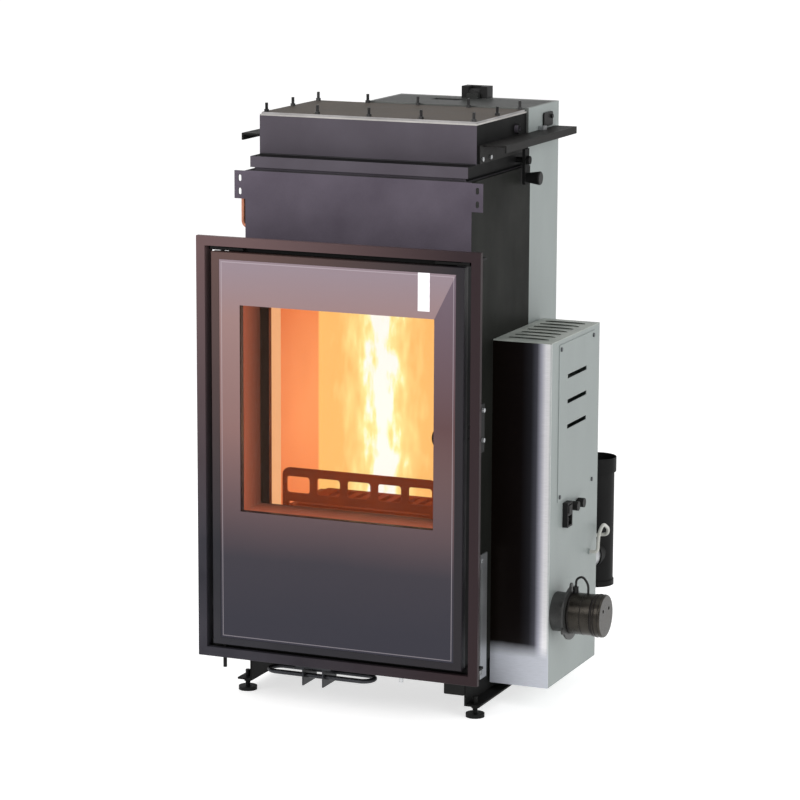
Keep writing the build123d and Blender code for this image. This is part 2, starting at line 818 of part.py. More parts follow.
# Smoke collector: four walls, a top flange for the cover, and a probe boss on the right
with BuildPart(datum) as collector_box:
    block(-collar_half, collar_half, collector_front, body_back, collar_top, collector_top)
    block(-collar_half + collector_wall, collar_half - collector_wall,
          collector_front + collector_wall, body_back - collector_wall, collar_top,
          collector_top - collector_wall, mode=Mode.SUBTRACT)
    block(-collar_half + collector_flange, collar_half - collector_flange,
          collector_front + collector_flange, body_back - collector_flange,
          collector_top - collector_wall, collector_top, mode=Mode.SUBTRACT)
    rod("X", (probe_y, probe_z), probe_radius, collar_half, collar_half + probe_length)
    rod("X", (probe_y, probe_z), probe_radius / 2, collar_half + probe_length / 4,
        collar_half + probe_length, mode=Mode.SUBTRACT)
collector_box.part.label = "collector_box"
export_step(collector_box.part, "parts/collector_box.step")

# Cover, its gasket, and the studs and nuts that hold it
stud_x = collar_half - stud_inset
stud_rows = (collector_front + stud_inset, body_back - stud_inset)
stud_middle = sum(stud_rows) / 2
stud_places = [(column * stud_x / 2, row) for row in stud_rows for column in range(-2, 3)]
stud_places += [(-stud_x, stud_middle), (stud_x, stud_middle)]
cover_low = collector_top + gasket_thick
cover_top = cover_low + cover_thick
with BuildPart(datum) as cover_gasket:
    block(-collar_half, collar_half, collector_front, body_back, collector_top, cover_low)
    block(-collar_half + gasket_width, collar_half - gasket_width, collector_front + gasket_width,
          body_back - gasket_width, collector_top, cover_low, mode=Mode.SUBTRACT)
    for place in stud_places:
        rod("Z", place, stud_radius + bolt_gap, collector_top, cover_low, mode=Mode.SUBTRACT)
cover_gasket.part.label = "cover_gasket"
export_step(cover_gasket.part, "parts/cover_gasket.step")

with BuildPart(datum) as cover_plate:
    block(-collar_half + cover_inset, collar_half - cover_inset, collector_front + cover_inset,
          body_back - cover_inset, cover_low, cover_top)
    for place in stud_places:
        rod("Z", place, stud_radius + bolt_gap, cover_low, cover_top, mode=Mode.SUBTRACT)
cover_plate.part.label = "cover_plate"
export_step(cover_plate.part, "parts/cover_plate.step")

with BuildPart(datum) as cover_studs:
    for place in stud_places:
        rod("Z", place, stud_radius, collector_top, collector_top + stud_length)
        with BuildSketch(Plane(origin=(place[0] - centre_x, place[1] - centre_y, cover_top))):
            RegularPolygon(nut_radius, 6)
            Circle(stud_radius + bolt_gap, mode=Mode.SUBTRACT)
        extrude(amount=nut_height)
cover_studs.part.label = "cover_studs"
export_step(cover_studs.part, "parts/cover_studs.step")

# Crank that lifts the cleaning gear: shaft, inner arm with its tip, outer arm and bolt head
crank_arm_back = crank_arm_x + crank_arm_thick
tip_y = crank_y - crank_reach
with BuildPart(datum) as crank_lever:
    rod("X", (crank_y, crank_z), crank_shaft_radius, fork_x - crank_tip_radius, crank_arm_back)
    rod("X", (tip_y, crank_z), crank_tip_radius, fork_x - fork_half + 2, fork_x + fork_half - 2)
    block(fork_x - crank_tip_radius, fork_x + crank_tip_radius, tip_y, crank_y,
          crank_z - crank_inner_half, crank_z + crank_inner_half)
    block(crank_arm_x, crank_arm_back, crank_y - crank_arm_width / 2,
          crank_y + crank_arm_width / 2, crank_z - crank_arm_drop, crank_z + crank_arm_rise)
    fillet(crank_lever.edges().filter_by(Axis.X).group_by(Axis.Z)[0], crank_arm_width / 3)
    rod("X", (crank_y, crank_z), crank_shaft_radius + 3, crank_arm_back, crank_arm_back + crank_bolt_length)
crank_lever.part.label = "crank_lever"
export_step(crank_lever.part, "parts/crank_lever.step")

knob_z = crank_z - crank_arm_drop + crank_knob_large
with BuildPart(datum) as crank_knob:
    with Locations((crank_arm_back + crank_knob_length / 2, crank_y, knob_z)):
        Cone(crank_knob_small, crank_knob_large, crank_knob_length, rotation=(0, 90, 0))
    fillet(crank_knob.edges().filter_by(GeomType.CIRCLE).sort_by(Axis.X)[-1], 3)
crank_knob.part.label = "crank_knob"
export_step(crank_knob.part, "parts/crank_knob.step")

# Cleaning discs on rods under one bar, with the fork that the crank's tip works in
with BuildPart(datum) as turbulators:
    block(-bar_half, bar_half, fork_web_y, tube_y + fork_depth, bar_z, bar_z + bar_thick)
    for index in range(tube_count):
        place = ((index - (tube_count - 1) / 2) * tube_pitch, tube_y)
        rod("Z", place, rod_radius, rod_bottom, bar_z)
        for step in range(disc_count):
            low = disc_first + step * disc_pitch
            rod("Z", place, disc_radius, low, low + disc_thick)
    block(fork_x - fork_half, fork_x + fork_half, fork_web_y, fork_web_y + bar_thick / 2,
          crank_z - crank_tip_radius - fork_gap - fork_plate, bar_z)
    for low in (crank_z - crank_tip_radius - fork_gap - fork_plate,
                crank_z + crank_tip_radius + fork_gap):
        block(fork_x - fork_half, fork_x + fork_half, fork_web_y, tip_y + fork_depth, low,
              low + fork_plate)
turbulators.part.label = "turbulators"
export_step(turbulators.part, "parts/turbulators.step")

# Folded rails beside the smoke collector
with BuildPart(datum) as side_rails:
    for hand in (-1, 1):
        web = sorted((hand * collar_half, hand * (collar_half + rail_sheet)))
        shelf = sorted((hand * collar_half, hand * (collar_half + rail_reach)))
        rear = sorted((hand * (hopper_right + 0.5), hand * (collar_half + rail_reach)))
        lip = sorted((hand * (collar_half + rail_reach - rail_sheet),
                      hand * (collar_half + rail_reach)))
        block(*web, rail_front, body_back, rail_top - rail_web, rail_top)
        block(*shelf, rail_front + 18, body_back, rail_top - rail_sheet, rail_top)
        block(*rear, body_back, rail_back, rail_top - rail_sheet, rail_top)
        block(*lip, rail_front + 18, rail_back, rail_top - rail_lip, rail_top)
        for step in (0, 1):
            rod("X", (rail_front + 13 + step * rail_bolt_pitch, rail_top - rail_web + 9),
                screw_radius + bolt_gap, web[0], web[1], mode=Mode.SUBTRACT)
side_rails.part.label = "side_rails"
export_step(side_rails.part, "parts/side_rails.step")

# Bright screws, the rail clip and the strip on the body's side
with BuildPart(datum) as zinc_fixings:
    for hand in (-1, 1):
        head = sorted((hand * (collar_half + rail_sheet),
                       hand * (collar_half + rail_sheet + screw_head)))
        stem = sorted((hand * collar_half, hand * (collar_half + rail_sheet)))
        for step in (0, 1):
            place = (rail_front + 13 + step * rail_bolt_pitch, rail_top - rail_web + 9)
            rod("X", place, screw_head_radius, *head)
            rod("X", place, screw_radius, *stem)
    for step in (0, 1):
        rod("X", (frame_screw_y, latch_height + 6 + step * frame_screw_pitch),
            screw_head_radius, frame_half, frame_half + screw_head + 2)
        rod("X", (body_front + strip_width * 2, strip_bottom + 14 + step * (strip_height - 28)),
            screw_head_radius, body_half + screw_head, body_half + 2 * screw_head)
    rod("Z", (hanger_screw_x, frame_depth / 2), screw_head_radius, frame_bottom - 10, frame_bottom)
    block(hopper_right + 0.8, hopper_right + 12, rail_clip_y, rail_clip_y + rail_clip_length,
          rail_top, rail_top + rail_clip_height)
    block(body_half, body_half + screw_head, strip_front, strip_front + strip_width,
          strip_bottom, strip_bottom + strip_height)
zinc_fixings.part.label = "zinc_fixings"
export_step(zinc_fixings.part, "parts/zinc_fixings.step")

# Copper pipe of the safety coil, bent into the body's side
copper_points = [(copper_x - centre_x, copper_y - centre_y, copper_top),
                 (copper_x - centre_x, copper_y - centre_y, copper_low),
                 (-body_half - centre_x, copper_y - centre_y, copper_low)]
with BuildPart() as copper_pipe:
    with BuildLine() as copper_line:
        FilletPolyline(*copper_points, radius=copper_bend)
    with BuildSketch(Plane(origin=copper_points[0], z_dir=(0, 0, -1))):
        Circle(copper_radius)
    sweep(path=copper_line.wires()[0])
copper_pipe.part.label = "copper_pipe"
export_step(copper_pipe.part, "parts/copper_pipe.step")

# Base rails with the runners of the air slide
plate_left = lever_plate_left - 0.5
plate_right = lever_plate_right + 0.5
runner_low = lever_plate_z - runner_wall - seat_gap
with BuildPart(datum) as base_rails:
    for hand in (-1, 1):
        web = sorted((hand * (base_half - base_web), hand * base_half))
        flange = sorted((hand * (base_half - base_web), hand * (base_half - base_web + base_flange)))
        block(*web, base_front, base_back, base_flange_z, body_bottom)
        block(*flange, base_front, base_back, base_flange_z, base_flange_z + base_web)
        for place in (foot_front, foot_back):
            rod("Z", (hand * foot_x, place), foot_stud_radius + running_gap, base_flange_z,
                base_flange_z + base_web, mode=Mode.SUBTRACT)
    block(plate_left - runner_wall, plate_left, base_front, lever_plate_back, runner_low,
          body_bottom)
    block(plate_right, plate_right + runner_wall, base_front, lever_plate_back, runner_low,
          body_bottom)
    block(plate_left - runner_wall, plate_left + runner_lip, base_front, lever_plate_back,
          runner_low, runner_low + runner_wall)
    block(plate_right - runner_lip, plate_right + runner_wall, base_front, lever_plate_back,
          runner_low, runner_low + runner_wall)
base_rails.part.label = "base_rails"
export_step(base_rails.part, "parts/base_rails.step")

# Levelling feet: a pad, a stud through the base flange and a nut under it
foot_places = {"front_left": (-foot_x, foot_front), "front_right": (foot_x, foot_front),
               "rear_left": (-foot_x, foot_back), "rear_right": (foot_x, foot_back)}
for foot_name, place in foot_places.items():
    with BuildPart(datum) as foot:
        rod("Z", place, foot_pad_radius, 0, foot_pad_height)
        rod("Z", place, foot_stud_radius, foot_pad_height, foot_stud_top)
        nut_low = base_flange_z - seat_gap - foot_nut_height
        with BuildSketch(level(nut_low)):
            with Locations(place):
                RegularPolygon(foot_nut_radius, 6)
        extrude(amount=foot_nut_height)
    foot.part.label = "foot_" + foot_name
    export_step(foot.part, "parts/foot_" + foot_name + ".step")

# Switch box on the right base rail
with BuildPart(datum) as switch_box:
    block(base_half - base_web - switch_box_width, base_half - base_web, base_front,
          base_front + switch_box_depth, switch_box_low, switch_box_low + switch_box_height)
    fillet(switch_box.edges().filter_by(Axis.Y), 3)
switch_box.part.label = "switch_box"
export_step(switch_box.part, "parts/switch_box.step")

# Air lever: a bent rod loop on two lugs under a slide plate
bend = (lever_back_y - lever_front_y) / 2
bend_y = (lever_back_y + lever_front_y) / 2
left_bend = lever_left + bend + lever_radius
right_bend = lever_right - bend - lever_radius
with BuildPart(datum) as air_lever:
    for row in (lever_front_y, lever_back_y):
        rod("X", (row, lever_z), lever_radius, left_bend, right_bend)
    with Locations((left_bend, bend_y, lever_z)):
        Torus(bend, lever_radius, major_angle=180, rotation=(0, 0, 90), align=None)
    with Locations((right_bend, bend_y, lever_z)):
        Torus(bend, lever_radius, major_angle=180, rotation=(0, 0, -90), align=None)
    for middle in lever_lugs:
        block(middle - lever_lug_thick / 2, middle + lever_lug_thick / 2, lever_plate_front,
              lever_back_y + 9, lever_lug_low, lever_plate_z)
    block(lever_plate_left, lever_plate_right, lever_plate_front, lever_plate_back,
          lever_plate_z, lever_plate_z + lever_plate_thick)
air_lever.part.label = "air_lever"
export_step(air_lever.part, "parts/air_lever.step")

# Hopper: straight walls, a funnel to the auger inlet, and a top plate with the lid's ledge
hopper_x = (hopper_left + hopper_right) / 2
hopper_y = (body_back + hopper_back) / 2
lid_left = hopper_left + lid_rim
lid_right = hopper_right - lid_rim
lid_front = body_back + 4
lid_back = lid_front + lid_depth
lid_block_right = lid_block_left + lid_block_width
lid_low = hopper_top - hopper_wall
with BuildPart(datum) as hopper_shell:
    for inset, end_mode in ((0, Mode.ADD), (hopper_wall, Mode.SUBTRACT)):
        with BuildSketch(level(hopper_bend)):
            with Locations((hopper_x, hopper_y)):
                Rectangle(hopper_right - hopper_left - 2 * inset, hopper_depth - 2 * inset)
        with BuildSketch(level(hopper_spout_z)):
            with Locations((auger_x, auger_y)):
                Rectangle(2 * spout_half - 2 * inset, 2 * spout_half - 2 * inset)
        loft(mode=end_mode)
        block(hopper_left + inset, hopper_right - inset, body_back + inset, hopper_back - inset,
              hopper_bend, hopper_top - inset, mode=end_mode)
    block(lid_left - lid_gap - 6, lid_right + lid_gap + 6, body_back + hopper_wall,
          lid_back + lid_gap + 6, lid_low - seat_gap - ledge_thick, lid_low - seat_gap)
    block(lid_left + ledge_width, lid_right - ledge_width, lid_front + ledge_width,
          lid_back - notch_depth - ledge_width, lid_low - seat_gap - ledge_thick, hopper_top,
          mode=Mode.SUBTRACT)
    block(lid_left - lid_gap, lid_right + lid_gap, lid_front - lid_gap, lid_back + lid_gap,
          lid_low - seat_gap, hopper_top, mode=Mode.SUBTRACT)
    block(lid_block_left - 1, lid_block_right + 1, lid_back - notch_depth + lid_gap,
          lid_back + lid_gap, lid_low - seat_gap, hopper_top)
hopper_shell.part.label = "hopper_shell"
export_step(hopper_shell.part, "parts/hopper_shell.step")

# Hopper lid with its knuckle and finger pocket, and the hinge block behind it
lid_axis_y = lid_back - lid_axis_setback + 4
lid_axis_z = hopper_top + lid_axis_rise
knuckle_x = lid_block_left + lid_block_width / 2
with BuildPart(datum) as hopper_lid:
    block(lid_left, lid_right, lid_front, lid_back, lid_low, hopper_top)
    block(lid_block_left - 2, lid_block_right + 2, lid_back - notch_depth, lid_back,
          lid_low, hopper_top, mode=Mode.SUBTRACT)
    block(pocket_left, pocket_left + pocket_width, pocket_front, pocket_front + pocket_depth_y,
          hopper_top - pocket_deep, hopper_top)
    block(pocket_left + 1.5, pocket_left + pocket_width - 1.5, pocket_front + 1.5,
          pocket_front + pocket_depth_y - 1.5, hopper_top - pocket_deep + 1.5, hopper_top,
          mode=Mode.SUBTRACT)
    block(knuckle_x - knuckle_width / 2, knuckle_x + knuckle_width / 2,
          lid_back - notch_depth - 10, lid_axis_y, hopper_top, lid_axis_z)
    block(knuckle_x - knuckle_width / 2, knuckle_x + knuckle_width / 2,
          lid_back - notch_depth - 1, lid_axis_y, hopper_top, lid_axis_z - knuckle_radius,
          mode=Mode.SUBTRACT)
    rod("X", (lid_axis_y, lid_axis_z), knuckle_radius, knuckle_x - knuckle_width / 2,
        knuckle_x + knuckle_width / 2)
    rod("X", (lid_axis_y, lid_axis_z), lid_pin_radius + running_gap, lid_block_left,
        lid_block_right, mode=Mode.SUBTRACT)
hopper_lid.part.label = "hopper_lid"
export_step(hopper_lid.part, "parts/hopper_lid.step")

with BuildPart(datum) as lid_hinge:
    for low in (lid_block_left, lid_block_right - cheek_thick):
        block(low, low + cheek_thick, lid_axis_y - lid_axis_setback - 2, hopper_back, hopper_top,
              hopper_top + lid_block_height)
    block(lid_block_left, lid_block_right, lid_axis_y + knuckle_radius + 5, hopper_back,
          hopper_top, hopper_top + lid_block_height)
    rod("X", (lid_axis_y, lid_axis_z), lid_pin_radius, lid_block_left, lid_block_right)
lid_hinge.part.label = "lid_hinge"
export_step(lid_hinge.part, "parts/lid_hinge.step")

# Paddle on the hopper's right face that holds the lid
paddle_pivot_y = latch_paddle_front + latch_paddle_length - 10
paddle_pivot_z = latch_paddle_low + latch_paddle_height - 10
with BuildPart(datum) as lid_latch:
    block(hopper_right + seat_gap, hopper_right + seat_gap + latch_paddle_thick,
          latch_paddle_front, latch_paddle_front + latch_paddle_length, latch_paddle_low,
          latch_paddle_low + latch_paddle_height)
    fillet(lid_latch.edges().filter_by(Axis.X), 6)
    rod("X", (paddle_pivot_y, paddle_pivot_z), screw_head_radius,
        hopper_right + seat_gap + latch_paddle_thick, hopper_right + 2 * latch_paddle_thick)
lid_latch.part.label = "lid_latch"
export_step(lid_latch.part, "parts/lid_latch.step")

# Pellet auger: tube with its inlet neck, screw, gearbox and motor
tube_outer = auger_radius + auger_wall
with BuildPart(datum) as auger_tube:
    rod("Y", (auger_x, auger_z), tube_outer, auger_front, auger_back)
    block(auger_x - spout_half, auger_x + spout_half, auger_y - spout_half,
          auger_y + spout_half, auger_z, hopper_spout_z)
    block(auger_x - spout_half + 4, auger_x + spout_half - 4, auger_y - spout_half + 4,
          auger_y + spout_half - 4, auger_z, hopper_spout_z, mode=Mode.SUBTRACT)
    rod("Y", (auger_x, auger_z), auger_radius, auger_front, auger_back, mode=Mode.SUBTRACT)
auger_tube.part.label = "auger_tube"
export_step(auger_tube.part, "parts/auger_tube.step")

screw_front = auger_front + 6
with BuildPart(datum) as auger_screw:
    rod("Y", (auger_x, auger_z), auger_shaft_radius, screw_front, auger_back + gearbox_depth / 2)
    for index in range(auger_flights):
        low = screw_front + index * auger_flight_pitch
        rod("Y", (auger_x, auger_z), auger_flight_radius, low, low + auger_flight_thick)
auger_screw.part.label = "auger_screw"
export_step(auger_screw.part, "parts/auger_screw.step")

with BuildPart(datum) as auger_motor:
    block(auger_x - gearbox_half, auger_x + gearbox_half, auger_back, auger_back + gearbox_depth,
          auger_z - gearbox_half, auger_z + gearbox_half)
    rod("Y", (auger_x, auger_z), auger_can_radius, auger_back + gearbox_depth,
        auger_back + gearbox_depth + auger_can_length)
    rod("Y", (auger_x, auger_z), auger_shaft_radius + running_gap, auger_back,
        auger_back + gearbox_depth / 2 + 1, mode=Mode.SUBTRACT)
auger_motor.part.label = "auger_motor"
export_step(auger_motor.part, "parts/auger_motor.step")

# Side cabinet: folded shell, brushed front, louvred lid and access panel
cabinet_x = (cabinet_left + cabinet_right) / 2
cabinet_in = cabinet_front + cabinet_sheet
panel_top = cabinet_top - 11
with BuildPart(datum) as cabinet_shell:
    block(cabinet_left, cabinet_right, cabinet_in, cabinet_back, cabinet_bottom,
          cabinet_top - cabinet_sheet)
    block(cabinet_left + cabinet_sheet, cabinet_right - cabinet_sheet, cabinet_in,
          cabinet_back - cabinet_sheet, cabinet_bottom + cabinet_sheet,
          cabinet_top - cabinet_sheet, mode=Mode.SUBTRACT)
    block(cabinet_right - cabinet_sheet, cabinet_right, panel_front + panel_lap,
          panel_back - panel_lap, panel_bottom + panel_lap, panel_top - panel_lap,
          mode=Mode.SUBTRACT)
    rod("X", (outlet_y, outlet_z), outlet_radius + seat_gap, cabinet_left,
        cabinet_left + cabinet_sheet, mode=Mode.SUBTRACT)
    rod("Y", (flue_x, outlet_z), outlet_radius + seat_gap, cabinet_back - cabinet_sheet,
        cabinet_back, mode=Mode.SUBTRACT)
    rod("X", (blower_y, blower_z), blower_neck_radius - 3, cabinet_right - cabinet_sheet,
        cabinet_right, mode=Mode.SUBTRACT)
    for step in (0, 1):
        rod("X", (reset_first_y + step * reset_pitch, reset_z), button_stem_radius + running_gap,
            cabinet_right - cabinet_sheet, cabinet_right, mode=Mode.SUBTRACT)
    rod("X", (hose_y, hose_z), gland_radius, cabinet_right, cabinet_right + gland_length)
    rod("Y", (nozzle_x, nozzle_z), gland_radius, cabinet_back, cabinet_back + nozzle_length)
cabinet_shell.part.label = "cabinet_shell"
export_step(cabinet_shell.part, "parts/cabinet_shell.step")

with BuildPart(datum) as front_plate:
    block(cabinet_left, cabinet_right, cabinet_front, cabinet_in, cabinet_bottom,
          cabinet_top - cabinet_sheet)
front_plate.part.label = "cabinet_front"
export_step(front_plate.part, "parts/cabinet_front.step")

louvre_pitch = cabinet_depth / (louvre_count + 1)
with BuildPart(datum) as cabinet_lid:
    block(cabinet_left, cabinet_right, cabinet_front, cabinet_back, cabinet_top - cabinet_sheet,
          cabinet_top)
    for index in range(louvre_count):
        row = cabinet_front + (index + 1) * louvre_pitch
        block(cabinet_left + 20, cabinet_right - 20, row - 3, row + 3,
              cabinet_top - cabinet_sheet, cabinet_top, mode=Mode.SUBTRACT)
cabinet_lid.part.label = "cabinet_lid"
export_step(cabinet_lid.part, "parts/cabinet_lid.step")

panel_face = cabinet_right + panel_thick
panel_middle = (panel_front + panel_back) / 2
screw_rows = (panel_front + 10, panel_back - 10)
screw_levels = (panel_bottom + 10, panel_top - 10)
with BuildPart(datum) as access_panel:
    block(cabinet_right, panel_face, panel_front, panel_back, panel_bottom, panel_top)
    for index in range(3):
        height = vent_first - index * vent_pitch
        block(cabinet_right, panel_face, panel_middle - vent_length / 2,
              panel_middle + vent_length / 2, height - vent_height / 2, height + vent_height / 2,
              mode=Mode.SUBTRACT)
    for row in screw_rows:
        for height in screw_levels:
            rod("X", (row, height), screw_radius + bolt_gap, cabinet_right, panel_face,
                mode=Mode.SUBTRACT)
access_panel.part.label = "access_panel"
export_step(access_panel.part, "parts/access_panel.step")

with BuildPart(datum) as panel_screws:
    for row in screw_rows:
        for height in screw_levels:
            rod("X", (row, height), screw_radius, cabinet_right, panel_face)
            rod("X", (row, height), screw_head_radius, panel_face, panel_face + 2)
panel_screws.part.label = "panel_screws"
export_step(panel_screws.part, "parts/panel_screws.step")

# Mains inlet with its rocker, and the two reset buttons
inlet_low = inlet_z - inlet_height / 2
inlet_high = inlet_z + inlet_height / 2
rocker_z = inlet_high - rocker_half - 5.5
rocker_x = cabinet_right + inlet_reach - 3
with BuildPart(datum) as power_inlet:
    block(cabinet_right, cabinet_right + inlet_reach, inlet_y - inlet_width / 2,
          inlet_y + inlet_width / 2, inlet_low, inlet_high)
    block(cabinet_right + 2, cabinet_right + inlet_reach, inlet_y - inlet_width / 2 + 4,
          inlet_y + inlet_width / 2 - 4, inlet_low + 4, inlet_low + 25, mode=Mode.SUBTRACT)
    block(cabinet_right + 2.5, cabinet_right + inlet_reach, inlet_y - rocker_width / 2 - 1,
          inlet_y + rocker_width / 2 + 1, rocker_z - rocker_half - 1.5,
          rocker_z + rocker_half + 1.5, mode=Mode.SUBTRACT)
    for step in (-1, 0, 1):
        block(cabinet_right + 2, cabinet_right + 9, inlet_y + step * 7 - 1,
              inlet_y + step * 7 + 1, inlet_low + 12, inlet_low + 17)
    rod("Y", (rocker_x, rocker_z), rocker_pin_radius + running_gap,
        inlet_y - rocker_width / 2 - 3, inlet_y + rocker_width / 2 + 3, mode=Mode.SUBTRACT)
power_inlet.part.label = "power_inlet"
export_step(power_inlet.part, "parts/power_inlet.step")

with BuildPart(datum) as rocker_switch:
    block(rocker_x - 4, rocker_x + 4.5, inlet_y - rocker_width / 2, inlet_y + rocker_width / 2,
          rocker_z - rocker_half, rocker_z + rocker_half)
    rod("Y", (rocker_x, rocker_z), rocker_pin_radius, inlet_y - rocker_width / 2 - 2.5,
        inlet_y + rocker_width / 2 + 2.5)
rocker_switch.part.label = "rocker_switch"
export_step(rocker_switch.part, "parts/rocker_switch.step")

button_x = cabinet_right + button_travel + 0.5
for step, button_name in enumerate(("front", "rear")):
    place = (reset_first_y + step * reset_pitch, reset_z)
    with BuildPart(datum) as reset_button:
        rod("X", place, button_radius, button_x, button_x + button_length)
        rod("X", place, button_stem_radius, cabinet_right - cabinet_sheet - seat_gap, button_x)
        rod("X", place, button_stem_radius + 2, cabinet_right - cabinet_sheet - seat_gap - 2,
            cabinet_right - cabinet_sheet - seat_gap)
    reset_button.part.label = "reset_button_" + button_name
    export_step(reset_button.part, "parts/reset_button_" + button_name + ".step")

# Control board on the cabinet's inner wall
board_x = cabinet_left + cabinet_sheet + board_stand
board_front = panel_front + board_inset
board_back = panel_back - 2 * board_inset
board_top = board_bottom + board_height
with BuildPart(datum) as control_board:
    block(board_x, board_x + board_thick, board_front, board_back, board_bottom, board_top)
    for row in (board_front + board_inset, board_back - board_inset):
        for height in (board_bottom + board_inset, board_top - board_inset):
            rod("X", (row, height), 4, board_x - board_stand, board_x)
    for index in range(relay_count):
        low = board_bottom + relay_first + index * relay_pitch
        block(board_x + board_thick, board_x + board_thick + relay_deep,
              board_front + relay_first, board_front + relay_first + relay_long, low,
              low + relay_high)
control_board.part.label = "control_board"
export_step(control_board.part, "parts/control_board.step")

# Ignition blower: neck and flange, motor with its cap, and the rotor
with BuildPart(datum) as blower_housing:
    rod("X", (blower_y, blower_z), blower_neck_radius, cabinet_right, blower_flange_x)
    rod("X", (blower_y, blower_z), blower_flange_radius, blower_flange_x, blower_body_x)
    for index in range(3):
        turn = math.radians(90 + 120 * index)
        place = (blower_y + blower_flange_radius * math.cos(turn),
                 blower_z + blower_flange_radius * math.sin(turn))
        rod("X", place, screw_head_radius + 3, blower_flange_x, blower_body_x)
    rod("X", (blower_y, blower_z), blower_neck_radius - 3, cabinet_right, blower_flange_x,
        mode=Mode.SUBTRACT)
    rod("X", (blower_y, blower_z), blower_shaft_radius + running_gap, blower_flange_x,
        blower_body_x, mode=Mode.SUBTRACT)
blower_housing.part.label = "blower_housing"
export_step(blower_housing.part, "parts/blower_housing.step")

with BuildPart(datum) as blower_motor:
    rod("X", (blower_y, blower_z), blower_body_radius, blower_body_x, blower_cap_x)
    rod("X", (blower_y, blower_z), blower_cap_radius, blower_cap_x, blower_end)
    fillet(blower_motor.faces().sort_by(Axis.X)[-1].edges(), 3)
    rod("X", (blower_y, blower_z), blower_body_radius - 3, blower_body_x, blower_cap_x,
        mode=Mode.SUBTRACT)
    for hand in (-1, 1):
        rod("X", (blower_y + hand * 18, blower_z + 14), 4, blower_cap_x, blower_end,
            mode=Mode.SUBTRACT)
blower_motor.part.label = "blower_motor"
export_step(blower_motor.part, "parts/blower_motor.step")

with BuildPart(datum) as blower_rotor:
    rod("X", (blower_y, blower_z), blower_shaft_radius, cabinet_right + 4, blower_cap_x - 2)
    rod("X", (blower_y, blower_z), impeller_radius, cabinet_right + 5,
        cabinet_right + 5 + impeller_depth)
    rod("X", (blower_y, blower_z), armature_radius, blower_body_x + 10,
        blower_body_x + 10 + armature_length)
    for index in range(8):
        turn = math.radians(45 * index)
        place = (blower_y + impeller_radius * 0.72 * math.cos(turn),
                 blower_z + impeller_radius * 0.72 * math.sin(turn))
        rod("X", place, 6, cabinet_right + 5, cabinet_right + 5 + impeller_depth,
            mode=Mode.SUBTRACT)
blower_rotor.part.label = "blower_rotor"
export_step(blower_rotor.part, "parts/blower_rotor.step")


def bend_radii(points, share=0.45):
    """The arc at each corner of a run: as large as its two straight runs allow."""
    radii = []
    for before, corner, after in zip(points, points[1:], points[2:]):
        first = Vector(*corner) - Vector(*before)
        second = Vector(*after) - Vector(*corner)
        turn = math.radians(first.get_angle(second))
        radii.append(share * min(first.length, second.length) / math.tan(turn / 2))
    return radii


# Motor cable over the motor, from a boot to the motor's top
cable_low = blower_z + blower_body_radius + seat_gap
boot_x = blower_body_x + 8
cable_points = [(boot_x - centre_x, blower_y - centre_y, cable_low + boot_height),
                (boot_x + 1 - centre_x, blower_y - centre_y, cable_low + boot_height + 17),
                (boot_x + 15 - centre_x, blower_y - centre_y, cable_low + boot_height + 24),
                (boot_x + 28 - centre_x, blower_y - centre_y, cable_low + boot_height + 8),
                (boot_x + 28 - centre_x, blower_y - centre_y, cable_low)]
cable_radii = bend_radii(cable_points)
with BuildPart() as blower_cable:
    with BuildLine() as cable_line:
        FilletPolyline(*cable_points, radius=cable_radii)
    with BuildSketch(Plane(origin=cable_line.line @ 0, z_dir=cable_line.line % 0)):
        Circle(cable_radius)
    sweep(path=cable_line.wires()[0])
    with Locations((cable_points[0][0], cable_points[0][1], cable_low + boot_height / 2)):
        Cylinder(boot_radius, boot_height)
print("cable radii", [round(value, 1) for value in cable_radii], "length",
      round(cable_line.wires()[0].length, 1))
blower_cable.part.label = "blower_cable"
export_step(blower_cable.part, "parts/blower_cable.step")

# Pressure hose from the gland in the cabinet's side round to the nozzle in its back
hose_points = [(cabinet_right + gland_length, hose_y, hose_z),
               (cabinet_right + gland_length + 17, hose_y, hose_z),
               (cabinet_right + gland_length + 15, hose_y + 10, hose_z + 37),
               (cabinet_right + gland_length + 13, hose_y + 46, hose_z + 54),
               (cabinet_right + gland_length + 11, hose_y + 86, hose_z + 34),
               (nozzle_x + 24, cabinet_back + 45, nozzle_z + 2),
               (nozzle_x, cabinet_back + 41, nozzle_z),
               (nozzle_x, cabinet_back + nozzle_length, nozzle_z)]
hose_points = [(x - centre_x, y - centre_y, z) for x, y, z in hose_points]
hose_radii = bend_radii(hose_points)
with BuildPart() as pressure_hose:
    with BuildLine() as hose_line:
        FilletPolyline(*hose_points, radius=hose_radii)
    with BuildSketch(Plane(origin=hose_line.line @ 0, z_dir=hose_line.line % 0)):
        Circle(hose_radius)
    sweep(path=hose_line.wires()[0])
print("hose radii", [round(value, 1) for value in hose_radii], "length",
      round(hose_line.wires()[0].length, 1))
pressure_hose.part.label = "pressure_hose"
export_step(pressure_hose.part, "parts/pressure_hose.step")

# Flue outlet through the cabinet, and the tee behind it
outlet_end = branch_start + 9
outlet_points = [(body_half - centre_x, outlet_y - centre_y, outlet_z),
                 (flue_x - centre_x, outlet_y - centre_y, outlet_z),
                 (flue_x - centre_x, outlet_end - centre_y, outlet_z)]
with BuildPart() as flue_outlet:
    with BuildLine() as outlet_line:
        FilletPolyline(*outlet_points, radius=outlet_bend)
    with BuildSketch(Plane(origin=outlet_points[0], z_dir=(1, 0, 0))):
        Circle(outlet_radius)
        Circle(outlet_radius - flue_wall, mode=Mode.SUBTRACT)
    sweep(path=outlet_line.wires()[0])
flue_outlet.part.label = "flue_outlet"
export_step(flue_outlet.part, "parts/flue_outlet.step")

